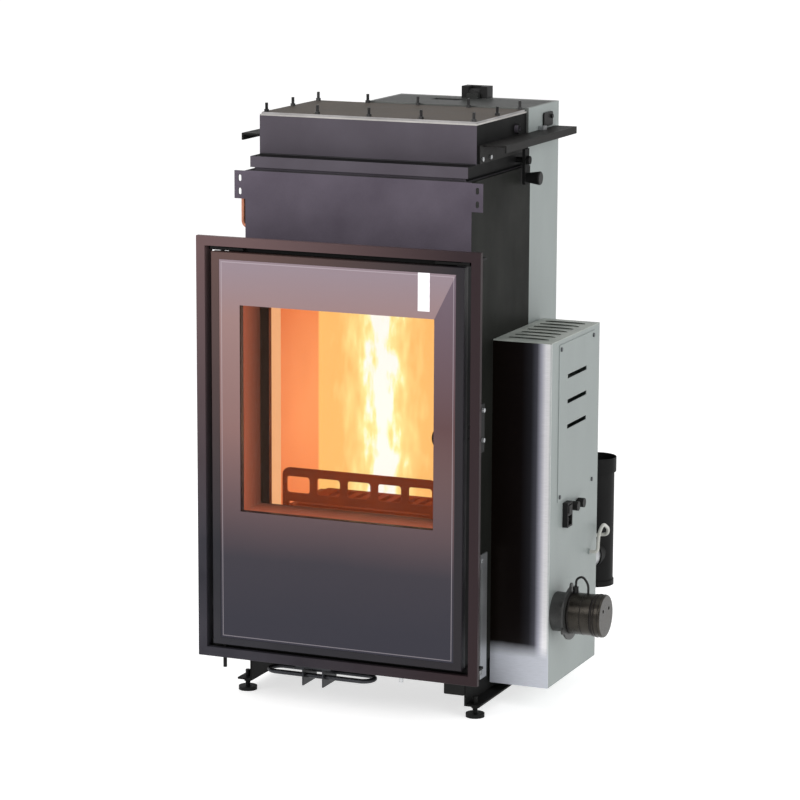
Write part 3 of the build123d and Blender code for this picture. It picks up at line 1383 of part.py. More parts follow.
with BuildPart(datum) as flue_tee:
    rod("Z", (flue_x, flue_y), flue_radius, flue_bottom, flue_top)
    rod("Z", (flue_x, flue_y), socket_radius, flue_top - socket_length, flue_top)
    rod("Z", (flue_x, flue_y), flue_radius + 2, flue_bottom, flue_bottom + 12)
    rod("Y", (flue_x, outlet_z), branch_radius, branch_start, flue_y)
    rod("Z", (flue_x, flue_y), flue_radius - flue_wall, flue_bottom + 3, flue_top,
        mode=Mode.SUBTRACT)
    rod("Z", (flue_x, flue_y), socket_radius - flue_wall, flue_top - socket_length + 2, flue_top,
        mode=Mode.SUBTRACT)
    rod("Y", (flue_x, outlet_z), outlet_radius + seat_gap, branch_start, flue_y,
        mode=Mode.SUBTRACT)
flue_tee.part.label = "flue_tee"
export_step(flue_tee.part, "parts/flue_tee.step")

# Flow and return pipes of the heating circuit
with BuildPart(datum) as water_pipes:
    for height in (water_low, water_high):
        rod("Y", (water_x, height), water_radius, body_back, body_back + water_length)
        rod("Y", (water_x, height), water_bore, body_back, body_back + water_length,
            mode=Mode.SUBTRACT)
water_pipes.part.label = "water_pipes"
export_step(water_pipes.part, "parts/water_pipes.step")
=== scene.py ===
"""Looks of the boiler fireplace: finishes, added detail, fire glow, studio and camera."""
import logging
import math
from dataclasses import dataclass
from enum import Enum

import bmesh
import bpy
import numpy as np
from mathutils import Matrix, Vector


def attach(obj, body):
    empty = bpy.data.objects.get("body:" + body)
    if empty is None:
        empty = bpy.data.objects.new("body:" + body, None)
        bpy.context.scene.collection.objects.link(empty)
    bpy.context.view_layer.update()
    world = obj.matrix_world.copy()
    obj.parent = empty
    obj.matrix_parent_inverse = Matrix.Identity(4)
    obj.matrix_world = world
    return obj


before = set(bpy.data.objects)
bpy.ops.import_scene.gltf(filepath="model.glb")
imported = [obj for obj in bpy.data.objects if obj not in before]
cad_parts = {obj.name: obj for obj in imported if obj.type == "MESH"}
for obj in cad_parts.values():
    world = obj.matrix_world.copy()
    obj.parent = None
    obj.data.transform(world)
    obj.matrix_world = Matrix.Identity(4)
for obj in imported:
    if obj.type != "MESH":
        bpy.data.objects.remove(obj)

LOG = logging.getLogger("boiler_fireplace")
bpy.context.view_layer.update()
OBJECTS: dict[str, bpy.types.Object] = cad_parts
CENTRE = np.array([0.090, 0.342, 0.0])
"""Middle of the whole outline, measured from the middle of the door frame's face."""
PATCH_SHARE = 0.7
"""Part of a finish's tone that comes from its patches; the rest comes from its grain."""
RELIEF_DEPTH = 0.0004
"""Height of a finish's fine relief, in metres."""

Colour = tuple[float, float, float]
Point = tuple[float, float, float]
Bounds = tuple[float, float, float, float]
"""Left, right, low and high edges of an upright rectangle, in metres of the shared frame."""


def place(x: float, y: float, z: float) -> np.ndarray:
    """Turns millimetres from the door frame's middle into metres in the shared frame."""
    return np.array([x, y, z]) / 1000.0 - CENTRE


class Axis(Enum):
    """The three directions of the shared frame."""

    X = 0
    Y = 1
    Z = 2


@dataclass
class Surface:
    """Vertices and quads of one surface, ready for a mesh."""

    points: np.ndarray
    faces: np.ndarray

    @classmethod
    def grid(cls, points: np.ndarray, wrap: bool = False) -> "Surface":
        """Joins a grid of points into quads.

        Args:
            points: Array of rows by columns by 3.
            wrap: Whether the last column joins the first.

        Returns:
            The surface, with its vertices in row order.
        """
        rows, columns = points.shape[:2]
        row, column = np.meshgrid(np.arange(rows - 1),
                                  np.arange(columns if wrap else columns - 1), indexing="ij")
        after = (column + 1) % columns
        quads = np.stack([row * columns + column, row * columns + after,
                          (row + 1) * columns + after, (row + 1) * columns + column], axis=-1)
        return cls(points.reshape(-1, 3), quads.reshape(-1, 4))

    @classmethod
    def join(cls, parts: "list[Surface]") -> "Surface":
        """Puts several surfaces into one, each with its own vertices."""
        starts = np.cumsum([0] + [len(part.points) for part in parts[:-1]])
        return cls(np.concatenate([part.points for part in parts]),
                   np.concatenate([part.faces + start for part, start in zip(parts, starts)]))

    def to_object(self, name: str, smooth: bool = True) -> bpy.types.Object:
        """Makes a mesh object with outward faces and closed seams.

        Args:
            name: Name of the new object.
            smooth: Whether its faces are shaded smooth.

        Returns:
            The object, linked to the scene and standing at the origin.
        """
        mesh = bpy.data.meshes.new(name)
        mesh.from_pydata(self.points.tolist(), [], self.faces.tolist())
        shape = bmesh.new()
        shape.from_mesh(mesh)
        bmesh.ops.remove_doubles(shape, verts=shape.verts, dist=1e-6)
        bmesh.ops.recalc_face_normals(shape, faces=shape.faces)
        shape.to_mesh(mesh)
        shape.free()
        mesh.polygons.foreach_set("use_smooth", np.full(len(mesh.polygons), smooth))
        made = bpy.data.objects.new(name, mesh)
        bpy.context.collection.objects.link(made)
        return made


def turned(profile: np.ndarray, centre: np.ndarray, axis: Axis, steps: int = 48) -> Surface:
    """Surface of revolution: each (along, radius) pair of the profile goes round the axis.

    A point is centre + along * axis + radius * (cos a, sin a) in the plane across the axis.

    Args:
        profile: Pairs of distance along the axis and radius, in metres.
        centre: Point on the axis where the distance is zero.
        axis: Direction of the axis.
        steps: Number of columns round the axis.

    Returns:
        The closed surface.
    """
    angle = np.linspace(0, 2 * np.pi, steps, endpoint=False)
    first, second = [(1, 2), (2, 0), (0, 1)][axis.value]
    points = np.zeros((len(profile), steps, 3))
    points[..., axis.value] = profile[:, 0, None]
    points[..., first] = profile[:, 1, None] * np.cos(angle)
    points[..., second] = profile[:, 1, None] * np.sin(angle)
    return Surface.grid(points + centre, wrap=True)


class Shader:
    """One procedural material while its nodes are wired to a principled surface."""

    def __init__(self, name: str) -> None:
        """Starts an empty material with its surface and output."""
        self.material = bpy.data.materials.new(name)
        self.material.use_nodes = True
        self.nodes = self.material.node_tree.nodes
        self.links = self.material.node_tree.links
        self.nodes.clear()
        self.surface = self.nodes.new("ShaderNodeBsdfPrincipled")
        self.output = self.nodes.new("ShaderNodeOutputMaterial")
        self.links.new(self.surface.outputs[0], self.output.inputs[0])
        self.object = self.nodes.new("ShaderNodeTexCoord").outputs["Object"]

    def feed(self, socket: str, value: object) -> None:
        """Sets a constant on the surface's socket, or links an output to it."""
        if isinstance(value, bpy.types.NodeSocket):
            self.links.new(value, self.surface.inputs[socket])
        else:
            self.surface.inputs[socket].default_value = value

    def stretch(self, scale: tuple[float, float, float]) -> bpy.types.NodeSocket:
        """Object coordinates in metres, scaled along each axis."""
        node = self.nodes.new("ShaderNodeMapping")
        node.inputs["Scale"].default_value = scale
        self.links.new(self.object, node.inputs["Vector"])
        return node.outputs[0]

    def noise(self, scale: float, stretch: tuple[float, float, float] = (1, 1, 1),
              detail: float = 4.0) -> bpy.types.NodeSocket:
        """Soft noise with a number of cells to the metre."""
        node = self.nodes.new("ShaderNodeTexNoise")
        node.inputs["Scale"].default_value = scale
        node.inputs["Detail"].default_value = detail
        self.links.new(self.stretch(stretch), node.inputs["Vector"])
        return node.outputs["Fac"]

    def part(self, source: bpy.types.NodeSocket, axis: Axis) -> bpy.types.NodeSocket:
        """One component of a vector."""
        node = self.nodes.new("ShaderNodeSeparateXYZ")
        self.links.new(source, node.inputs[0])
        return node.outputs[axis.value]

    def spread(self, source: bpy.types.NodeSocket, low: float, high: float,
               from_low: float = 0.3, from_high: float = 0.7) -> bpy.types.NodeSocket:
        """Maps a stretch of a value to a new range, clamped."""
        node = self.nodes.new("ShaderNodeMapRange")
        for socket, value in zip(("From Min", "From Max", "To Min", "To Max"),
                                 (from_low, from_high, low, high)):
            node.inputs[socket].default_value = value
        self.links.new(source, node.inputs["Value"])
        return node.outputs[0]

    def maths(self, operation: str, first: object, second: object = 0.0) -> bpy.types.NodeSocket:
        """Result of an operation on two values, each a number or an output."""
        node = self.nodes.new("ShaderNodeMath")
        node.operation = operation
        for socket, value in zip(node.inputs, (first, second)):
            if isinstance(value, bpy.types.NodeSocket):
                self.links.new(value, socket)
            else:
                socket.default_value = value
        return node.outputs[0]

    def inside(self, bounds: Bounds) -> bpy.types.NodeSocket:
        """Is 1 where X and Z lie within the bounds, and 0 elsewhere."""
        left, right, low, high = bounds
        across = self.part(self.object, Axis.X)
        height = self.part(self.object, Axis.Z)
        found = self.maths("GREATER_THAN", across, left)
        for operation, value, edge in (("LESS_THAN", across, right),
                                       ("GREATER_THAN", height, low),
                                       ("LESS_THAN", height, high)):
            found = self.maths("MULTIPLY", found, self.maths(operation, value, edge))
        return found

    def ramp(self, source: bpy.types.NodeSocket,
             stops: list[tuple[float, tuple[float, ...]]]) -> bpy.types.NodeSocket:
        """Colours along a value."""
        node = self.nodes.new("ShaderNodeValToRGB")
        band = node.color_ramp
        while len(band.elements) < len(stops):
            band.elements.new(0.5)
        for element, (spot, colour) in zip(band.elements, stops):
            element.position = spot
            element.color = (*colour, 1.0)
        self.links.new(source, node.inputs[0])
        return node.outputs[0]

    def mix(self, factor: object, first: object, second: object,
            blend: str = "MIX") -> bpy.types.NodeSocket:
        """Blend of two colours, each a colour or an output."""
        node = self.nodes.new("ShaderNodeMix")
        node.data_type, node.blend_type = "RGBA", blend
        for socket, value in zip((node.inputs[0], node.inputs[6], node.inputs[7]),
                                 (factor, first, second)):
            if isinstance(value, bpy.types.NodeSocket):
                self.links.new(value, socket)
            else:
                socket.default_value = (*value, 1.0) if isinstance(value, tuple) else value
        return node.outputs[2]

    def bump(self, height: bpy.types.NodeSocket, strength: float, depth: float) -> None:
        """Raises the surface by a height from 0 to 1 times a depth, in metres."""
        node = self.nodes.new("ShaderNodeBump")
        node.inputs["Strength"].default_value = strength
        node.inputs["Distance"].default_value = depth
        self.links.new(height, node.inputs["Height"])
        self.links.new(node.outputs[0], self.surface.inputs["Normal"])


def coat(material: bpy.types.Material, *names: str) -> None:
    """Gives a material to CAD nodes or new pieces, by name."""
    for name in names:
        mesh = (OBJECTS.get(name) or bpy.data.objects[name]).data
        mesh.materials.clear()
        mesh.materials.append(material)
    LOG.info("finish %s on %s", material.name, ", ".join(names))


@dataclass(frozen=True)
class Finish:
    """A finish of one material: two shades mixed by noise, uneven gloss and a fine relief."""

    name: str
    dark: Colour
    light: Colour
    metal: float = 0.0
    specular: float = 0.12
    gloss: tuple[float, float] = (0.40, 0.55)
    patch: float = 9.0
    grain: float = 900.0
    relief: float = 0.25
    stretch: tuple[float, float, float] = (1.0, 1.0, 1.0)

    def shade(self, shader: Shader, tone: bpy.types.NodeSocket) -> bpy.types.NodeSocket:
        """Runs from the dark to the light shade along the mixed noise."""
        return shader.ramp(tone, [(0.35, self.dark), (0.65, self.light)])

    def build(self) -> bpy.types.Material:
        """Wires the shades, the gloss and the relief.

        Returns:
            The finished material.
        """
        shader = Shader(self.name)
        patches = shader.noise(self.patch, self.stretch, 5.0)
        grain = shader.noise(self.grain, self.stretch, 2.0)
        tone = shader.maths("ADD", shader.maths("MULTIPLY", patches, PATCH_SHARE),
                            shader.maths("MULTIPLY", grain, 1.0 - PATCH_SHARE))
        shader.feed("Base Color", self.shade(shader, tone))
        shader.feed("Roughness", shader.spread(tone, *self.gloss))
        shader.feed("Metallic", self.metal)
        shader.feed("Specular IOR Level", self.specular)
        shader.bump(grain, self.relief, RELIEF_DEPTH)
        self.light_up(shader)
        return shader.material

    def light_up(self, shader: Shader) -> None:
        """Adds nothing: only the pieces round the fire glow."""

    def dress(self, *names: str) -> None:
        """Gives the finish to CAD nodes or new pieces, by name."""
        coat(self.build(), *names)


@dataclass(frozen=True)
class PaintedLightByFacing(Finish):
    """Finish of the faces towards one direction, with another shade painted on all the rest, so
    that one paint looks lit on some faces and shaded on others.
    """

    facing: Axis = Axis.Y
    sign: float = -1.0
    # Shade painted on the faces turned away from the chosen direction.
    painted_away_shade: Colour = (0.012, 0.012, 0.012)

    def shade(self, shader: Shader, tone: bpy.types.NodeSocket) -> bpy.types.NodeSocket:
        """Mixes the painted shade in where the surface turns away from the chosen direction."""
        normal = shader.nodes.new("ShaderNodeTexCoord").outputs["Normal"]
        towards = shader.maths("MULTIPLY", shader.part(normal, self.facing), self.sign)
        painted_away = shader.ramp(shader.noise(14.0, (1.0, 1.0, 0.35), 8.0), [
            (0.35, tuple(0.8 * c for c in self.painted_away_shade)), (0.70, tuple(1.3 * c for c in self.painted_away_shade))])
        return shader.mix(shader.spread(towards, 0.0, 1.0, 0.5, 0.8), painted_away,
                          super().shade(shader, tone))


@dataclass(frozen=True)
class PaintedLightEnamel(Finish):
    """Enamel with painted light: a warm painted highlight high on the left, running to painted
    shade low and at the right.
    """

    # high is the painted highlight and right the painted shade; heights and sides are where they
    # come in, in metres.
    high: Colour = (0.10, 0.07, 0.07)
    right: Colour = (0.04, 0.035, 0.038)
    heights: tuple[float, float] = (0.35, 0.98)
    sides: tuple[float, float] = (-0.30, 0.19)

    def shade(self, shader: Shader, tone: bpy.types.NodeSocket) -> bpy.types.NodeSocket:
        """Mixes in the painted highlight by height and then the painted shade by distance to the
        right.
        """
        rise = shader.spread(shader.part(shader.object, Axis.Z), 0.0, 1.0, *self.heights)
        across = shader.spread(shader.part(shader.object, Axis.X), 0.0, 1.0, *self.sides)
        left = shader.mix(rise, super().shade(shader, tone), self.high)
        return shader.mix(across, left, self.right)


@dataclass(frozen=True)
class BrushedSheet(Finish):
    """Sheet steel brushed upwards, with painted light: dark at the left, a painted highlight band
    near its right edge and a painted floor reflection along its foot.
    """

    # band is where the painted highlight runs across the sheet, in metres; foot is the pale painted
    # floor reflection and its heights where it fades out.
    band: tuple[float, float] = (0.165, 0.296)
    highlight_tones: tuple[tuple[float, Colour], ...] = ()
    foot: Colour = (0.58, 0.60, 0.66)
    floor_reflection_heights: tuple[float, float] = (0.120, 0.150)

    def shade(self, shader: Shader, tone: bpy.types.NodeSocket) -> bpy.types.NodeSocket:
        """Multiplies fine scratches by the painted highlight across the sheet and the painted floor
        reflection at the foot.
        """
        spot = shader.spread(shader.part(shader.object, Axis.X), 0.0, 1.0, *self.band)
        height = shader.maths("ADD", shader.part(shader.object, Axis.Z),
                              shader.maths("MULTIPLY", shader.noise(6.0), 0.02))
        low = shader.spread(height, 1.0, 0.0, *self.floor_reflection_heights)
        colour = shader.mix(low, shader.ramp(spot, list(self.highlight_tones)), self.foot)
        scratch = shader.noise(60.0, (1.0, 1.0, 40.0), 3.0)
        return shader.mix(1.0, colour, shader.ramp(scratch, [(0.3, (0.84,) * 3),
                                                            (0.7, (1.0,) * 3)]), "MULTIPLY")


@dataclass(frozen=True)
class FireLit(Finish):
    """Firebrick with the glow of the fire: flames up the back plate, orange on the sides.

    In metres, flame is the fire's middle and half width across the plate, back the depths
    between which a face turns into the back plate, and middle the heart of the fire.
    """

    flame: tuple[float, float] = (-0.127, 0.050)
    sway: float = 0.10
    tear: float = 3.0
    strength: float = 1.22
    back: tuple[float, float] = (-0.034, -0.026)
    middle: Point = (-0.12, -0.03, 0.62)
    wall: Colour = (1.0, 0.70, 0.24)
    side: tuple[Colour, Colour] = ((0.93, 0.31, 0.110), (0.74, 0.150, 0.040))
    edge: Colour = (0.88, 0.42, 0.19)

    def flames(self, shader: Shader) -> bpy.types.NodeSocket:
        """Pale strands round a swaying line: |x - middle - sway| / half width, torn by noise."""
        middle, half = self.flame
        across = shader.part(shader.object, Axis.X)
        sway = shader.maths("SUBTRACT", shader.noise(7.0, (0.0, 0.0, 1.0), 2.0), 0.5)
        off = shader.maths("SUBTRACT", shader.maths("SUBTRACT", across, middle),
                           shader.maths("MULTIPLY", sway, self.sway))
        edge = shader.maths("MULTIPLY", shader.maths("ABSOLUTE", off), 1.0 / half)
        torn = shader.maths("SUBTRACT", shader.noise(46.0, (1.0, 0.0, 0.30), 6.0), 0.5)
        strand = shader.maths("ADD", edge, shader.maths("MULTIPLY", torn, self.tear))
        return shader.ramp(shader.maths("MULTIPLY", strand, 0.5), [
            (0.16, (1.0, 1.0, 0.93)), (0.32, (1.0, 0.93, 0.42)), (0.41, (1.0, 0.80, 0.30)),
            (0.56, self.wall), (1.0, (0.98, 0.52, 0.15))])

    def light_up(self, shader: Shader) -> None:
        """Glows with the flames on the back plate and with less light away from them."""
        away = shader.nodes.new("ShaderNodeVectorMath")
        away.operation = "DISTANCE"
        shader.links.new(shader.object, away.inputs[0])
        away.inputs[1].default_value = self.middle
        reach = shader.maths("ADD", shader.spread(away.outputs["Value"], 0.0, 1.0, 0.12, 0.36),
                             shader.maths("MULTIPLY", shader.noise(6.0), 0.12))
        sides = shader.ramp(reach, [(0.1, self.side[0]), (1.0, self.side[1])])
        normal = shader.nodes.new("ShaderNodeTexCoord").outputs["Normal"]
        front = shader.spread(shader.part(normal, Axis.Y), 1.0, 0.0, -0.9, -0.6)
        depth = shader.spread(shader.part(shader.object, Axis.Y), 0.0, 1.0, *self.back)
        glow = shader.mix(depth, shader.mix(front, sides, self.edge), self.flames(shader))
        shader.feed("Emission Color", glow)
        shader.feed("Emission Strength", self.strength)


@dataclass(frozen=True)
class FirelitMetal(Finish):
    """Iron or steel near the fire, with the fire's light painted on as a faint even glow."""

    painted_firelight: Colour = (0.10, 0.02, 0.005)

    def light_up(self, shader: Shader) -> None:
        """Adds the painted firelight, stronger in patches."""
        shader.feed("Emission Color", shader.ramp(shader.noise(20.0), [
            (0.3, tuple(0.6 * c for c in self.painted_firelight)), (0.7, self.painted_firelight)]))
        shader.feed("Emission Strength", 1.0)


@dataclass(frozen=True)
class Reveal(Finish):
    """Black paint, with the fire's brown light on the walls of the door opening."""

    opening: Bounds = (-0.3145, 0.1345, 0.417, 0.869)
    lit: tuple[Colour, Colour] = ((0.420, 0.100, 0.052), (0.110, 0.028, 0.015))
    depth: tuple[float, float] = (-0.312, -0.240)

    def light_up(self, shader: Shader) -> None:
        """Lights the faces inside the opening, more towards the room."""
        away = shader.spread(shader.part(shader.object, Axis.Y), 0.0, 1.0, *self.depth)
        sway = shader.maths("SUBTRACT", shader.noise(30.0, (1.0, 1.0, 0.08)), 0.5)
        streak = shader.maths("ADD", away, shader.maths("MULTIPLY", sway, 0.5))
        light = shader.ramp(streak, [(0.0, self.lit[0]), (1.0, self.lit[1])])
        inside = shader.inside(self.opening)
        shader.feed("Emission Color", shader.mix(inside, (0.0, 0.0, 0.0), light))
        shader.feed("Emission Strength", 1.0)


@dataclass(frozen=True)
class PrintedGlass:
    """Door glass with an enamel print round a clear window; the print carries a painted reflection
    that lightens towards the top and painted shade to the right of the window.

    fade is the heights between which the painted shade comes in, and inset and line are the place
    and half width of the thin ground line, all in metres. blur softens the painted shade's slanted
    edge.
    """

    window: Bounds
    pane: Bounds
    blur: float = 0.00006
    fade: tuple[float, float] = (0.40, 0.64)
    inset: float = 0.005
    line: float = 0.0009
    line_share: float = 0.25

    def painted_shade_zone(self, shader: Shader, height: bpy.types.NodeSocket,
             across: bpy.types.NodeSocket) -> bpy.types.NodeSocket:
        """Is 1 where the painted shade goes: right of the window and below the line from its corner
        to the pane's.
        """
        _, right, _, top = self.window
        _, pane_right, _, pane_top = self.pane
        out = shader.maths("MULTIPLY", shader.maths("SUBTRACT", across, right), pane_top - top)
        up = shader.maths("MULTIPLY", shader.maths("SUBTRACT", height, top), pane_right - right)
        beyond = shader.spread(shader.maths("SUBTRACT", out, up), 0.0, 1.0, -self.blur, self.blur)
        beyond = shader.maths("MULTIPLY", beyond, shader.maths("GREATER_THAN", across, right))
        return shader.maths("MULTIPLY", beyond, shader.spread(height, 0.0, 1.0, *self.fade))

    def border(self, shader: Shader, height: bpy.types.NodeSocket,
               across: bpy.types.NodeSocket) -> bpy.types.NodeSocket:
        """Is 1 on the thin ground line just inside the pane's edges, and 0 elsewhere."""
        left, right, low, high = self.pane
        side = shader.maths("SUBTRACT", (right - left) / 2, shader.maths(
            "ABSOLUTE", shader.maths("SUBTRACT", across, (left + right) / 2)))
        end = shader.maths("SUBTRACT", (high - low) / 2, shader.maths(
            "ABSOLUTE", shader.maths("SUBTRACT", height, (low + high) / 2)))
        off = shader.maths("SUBTRACT", shader.maths("MINIMUM", side, end), self.inset)
        return shader.maths("LESS_THAN", shader.maths("ABSOLUTE", off), self.line)

    def dress(self, name: str) -> None:
        """Wires the print outside the window and clear glass inside it, and dresses a node."""
        shader = Shader("printed_glass")
        across = shader.part(shader.object, Axis.X)
        height = shader.part(shader.object, Axis.Z)
        inside = shader.inside(self.window)
        rise = shader.maths("ADD", shader.spread(height, 0.0, 1.0, *self.pane[2:]),
                            shader.maths("MULTIPLY", shader.noise(3.0), 0.04))
        # Print colour with a painted reflection: lighter and warmer towards the top.
        main = shader.ramp(rise, [
            (0.08, (0.021, 0.020, 0.030)), (0.24, (0.028, 0.024, 0.033)),
            (0.40, (0.098, 0.060, 0.064)), (0.58, (0.185, 0.103, 0.096)),
            (0.87, (0.242, 0.153, 0.146)), (1.0, (0.225, 0.173, 0.196))])
        # The print under painted shade, right of the window.
        shadow = shader.ramp(rise, [
            (0.10, (0.018, 0.017, 0.023)), (0.34, (0.032, 0.026, 0.032)),
            (0.62, (0.082, 0.040, 0.042)), (1.0, (0.122, 0.090, 0.115))])
        enamel = shader.mix(self.painted_shade_zone(shader, height, across), main, shadow)
        border = self.border(shader, height, across)
        lined = shader.mix(shader.maths("MULTIPLY", border, self.line_share), enamel,
                           (0.55, 0.50, 0.54))
        shader.feed("Base Color", shader.mix(inside, lined, (0.05, 0.025, 0.015)))
        shader.feed("Roughness", shader.spread(shader.noise(40.0), 0.07, 0.11))
        shader.feed("Specular IOR Level", 0.2)
        shader.feed("Alpha", shader.spread(inside, 1.0, 0.07, 0.0, 1.0))
        coat(shader.material, name)


@dataclass(frozen=True)
class ClearGlass:
    """Thin clear pane that lets nearly all the light through."""

    name: str
    tint: Colour = (0.10, 0.06, 0.04)
    cover: float = 0.05

    def dress(self, *names: str) -> None:
        """Wires a smoked, nearly clear surface with faint streaks and dresses nodes."""
        shader = Shader(self.name)
        streak = shader.noise(6.0, (1.0, 1.0, 0.2), 6.0)
        shader.feed("Base Color", shader.ramp(streak, [
            (0.3, self.tint), (0.7, tuple(0.8 * c for c in self.tint))]))
        shader.feed("Roughness", shader.spread(streak, 0.03, 0.12))
        shader.feed("Specular IOR Level", 0.2)
        shader.feed("Alpha", shader.spread(streak, self.cover, 1.6 * self.cover))
        coat(shader.material, *names)


def keep(surface: Surface, name: str, body: str, smooth: bool = True) -> None:
    """Makes a new piece of the object, which rides on a body.

    Args:
        surface: Its surface.
        name: Its name.
        body: The body that it rides on.
        smooth: Whether its faces are shaded smooth.
    """
    made = surface.to_object(name, smooth)
    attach(made, body)
    LOG.info("piece %s on %s: %d faces", name, body, len(made.data.polygons))


def thread(spot: Point, length: float, radius: float,
           pitch: float = 1.0, depth: float = 0.35) -> Surface:
    """Screw thread as closed rings: radius + depth times a triangle wave of the height.

    Args:
        spot: Middle of its lower end, in millimetres from the door frame's middle.
        length: Its height, in millimetres.
        radius: Radius of its core, in millimetres.
        pitch: Height of one turn, in millimetres.
        depth: Height of its ridges, in millimetres.

    Returns:
        The closed surface, upright.
    """
    turns = int(length / pitch)
    along = np.linspace(0.0, length, 2 * turns + 1)
    wave = radius + depth * (np.arange(2 * turns + 1) % 2)
    profile = np.stack([np.concatenate([[0.0], along, [length]]),
                        np.concatenate([[0.0], wave, [0.0]])], axis=-1) / 1000.0
    return turned(profile, place(*spot), Axis.Z, 16)


def ring(spot: Point, axis: Axis, width: float, inner: float, outer: float,
         steps: int = 64) -> Surface:
    """Raised ring: a rectangle with softened outer corners, carried round the axis.

    Args:
        spot: Middle of its low side, in millimetres from the door frame's middle.
        axis: Its axis.
        width: Its width along the axis, in millimetres.
        inner: Inner radius, in millimetres.
        outer: Outer radius, in millimetres.
        steps: Number of columns round the axis.

    Returns:
        The closed surface.
    """
    soft = min(width, outer - inner) * 0.3
    profile = np.array([(0, inner), (0, outer - soft), (soft, outer), (width - soft, outer),
                        (width, outer - soft), (width, inner), (0, inner)]) / 1000.0
    return turned(profile, place(*spot), axis, steps)


def weld(start: Point, axis: Axis, length: float, radius: float = 2.2,
         pitch: float = 4.8, ripple: float = 0.16) -> Surface:
    """Weld bead: radius * (1 + ripple cos(2 pi s / pitch)) along its length, like laid coins.

    Args:
        start: Its first end, in millimetres from the door frame's middle.
        axis: The direction it runs in.
        length: Its length, in millimetres.
        radius: Its mean radius, in millimetres.
        pitch: Distance between two ripples, in millimetres.
        ripple: Height of a ripple as a share of the radius.

    Returns:
        The closed surface.
    """
    along = np.arange(0.0, length + 0.1, pitch / 4)
    swell = radius * (1 + ripple * np.cos(2 * np.pi * along / pitch))
    swell[[0, -1]] = 0.0
    return turned(np.stack([along, swell], axis=-1) / 1000.0, place(*start), axis, 8)


def folded(profile: list[tuple[float, float]], start: float, end: float) -> Surface:
    """Folded strip: a closed profile of (y, z) corners carried along x, with both ends closed.

    Args:
        profile: Its corners in order, in millimetres from the door frame's middle.
        start: Where it starts along x, in millimetres.
        end: Where it ends along x, in millimetres.

    Returns:
        The closed surface.
    """
    corners = np.array(profile + profile[:1])
    points = np.zeros((2, len(corners), 3))
    points[..., 0] = np.array([[start], [end]])
    points[..., 1:] = corners
    inner = (corners[1] + corners[-2]) / 2
    caps = points.copy()
    caps[..., 1:] = inner
    return Surface.grid(np.stack([caps[0], points[0], points[1], caps[1]]) / 1000.0 - CENTRE)


@dataclass
class FrontDoor:
    """Decorative frame, door, glass, seals, badge and latch.

    The strips' sizes are in millimetres from the door frame's middle: half their length, the
    heights of their edges, the depths of their front and seat, their lap and their thickness.
    """

    window: Bounds = (-0.308, 0.128, 0.424, 0.862)
    pane: Bounds = (-0.355, 0.175, 0.147, 0.956)
    strip_half: float = 298.0
    strip_edges: tuple[float, float] = (123.0, 983.0)
    strip_depths: tuple[float, float] = (12.0, 24.0)
    strip_lap: float = 11.4
    strip_skin: float = 1.2

    def rebate(self, edge: float, outward: float) -> list[tuple[float, float]]:
        """Corners of an angle strip behind the frame: a flange on its edge and one across.

        Args:
            edge: Height of the edge that it lies on, in millimetres.
            outward: 1 for the strip above the door and -1 for the one below it.

        Returns:
            The corners in order, as (y, z) in millimetres.
        """
        front, seat = self.strip_depths
        back = seat + self.strip_skin
        across, outside = edge - outward * self.strip_lap, edge + outward * self.strip_skin
        return [(front, edge), (front, outside), (back, outside), (back, across),
                (seat, across), (seat, edge)]

    def build(self) -> None:
        """Adds the two angle strips that close the gap above and below the door."""
        half = self.strip_half
        low, high = self.strip_edges
        strips = [folded(self.rebate(high, 1.0), -half, half),
                  folded(self.rebate(low, -1.0), -half, half)]
        keep(Surface.join(strips), "frame_rebates", "stove", smooth=False)

    def dress(self) -> None:
        """Gives the door's pieces their finishes."""
        # Frame and door enamel carry painted light: a painted highlight high on the left and
        # painted shade at the right.
        PaintedLightEnamel("frame_enamel", (0.022, 0.021, 0.027), (0.036, 0.034, 0.042),
              high=(0.106, 0.066, 0.067), right=(0.024, 0.015, 0.017), specular=0.08,
              gloss=(0.34, 0.46)).dress("front_frame")
        PaintedLightEnamel("door_enamel", (0.016, 0.016, 0.020), (0.026, 0.025, 0.030),
              high=(0.088, 0.052, 0.047), right=(0.018, 0.016, 0.019),
              gloss=(0.35, 0.5)).dress("door_frame")
        Finish("bracket_paint", (0.008, 0.008, 0.008), (0.014, 0.014, 0.014),
               gloss=(0.5, 0.7)).dress("frame_brackets", "frame_rebates")
        PrintedGlass(self.window, self.pane).dress("door_glass")
        ClearGlass("inner_pane").dress("inner_glass")
        Finish("seal_rope", (0.030, 0.024, 0.022), (0.075, 0.060, 0.054), gloss=(0.85, 0.95),
               grain=500.0, relief=0.9).dress("door_seals")
        Finish("badge_steel", (0.74, 0.70, 0.74), (0.92, 0.88, 0.91), metal=0.3,
               gloss=(0.3, 0.45), stretch=(1.0, 1.0, 14.0)).dress("door_badge")
        Finish("latch_zinc", (0.22, 0.22, 0.23), (0.34, 0.34, 0.35), metal=0.9,
               gloss=(0.25, 0.4)).dress("latch_lever")


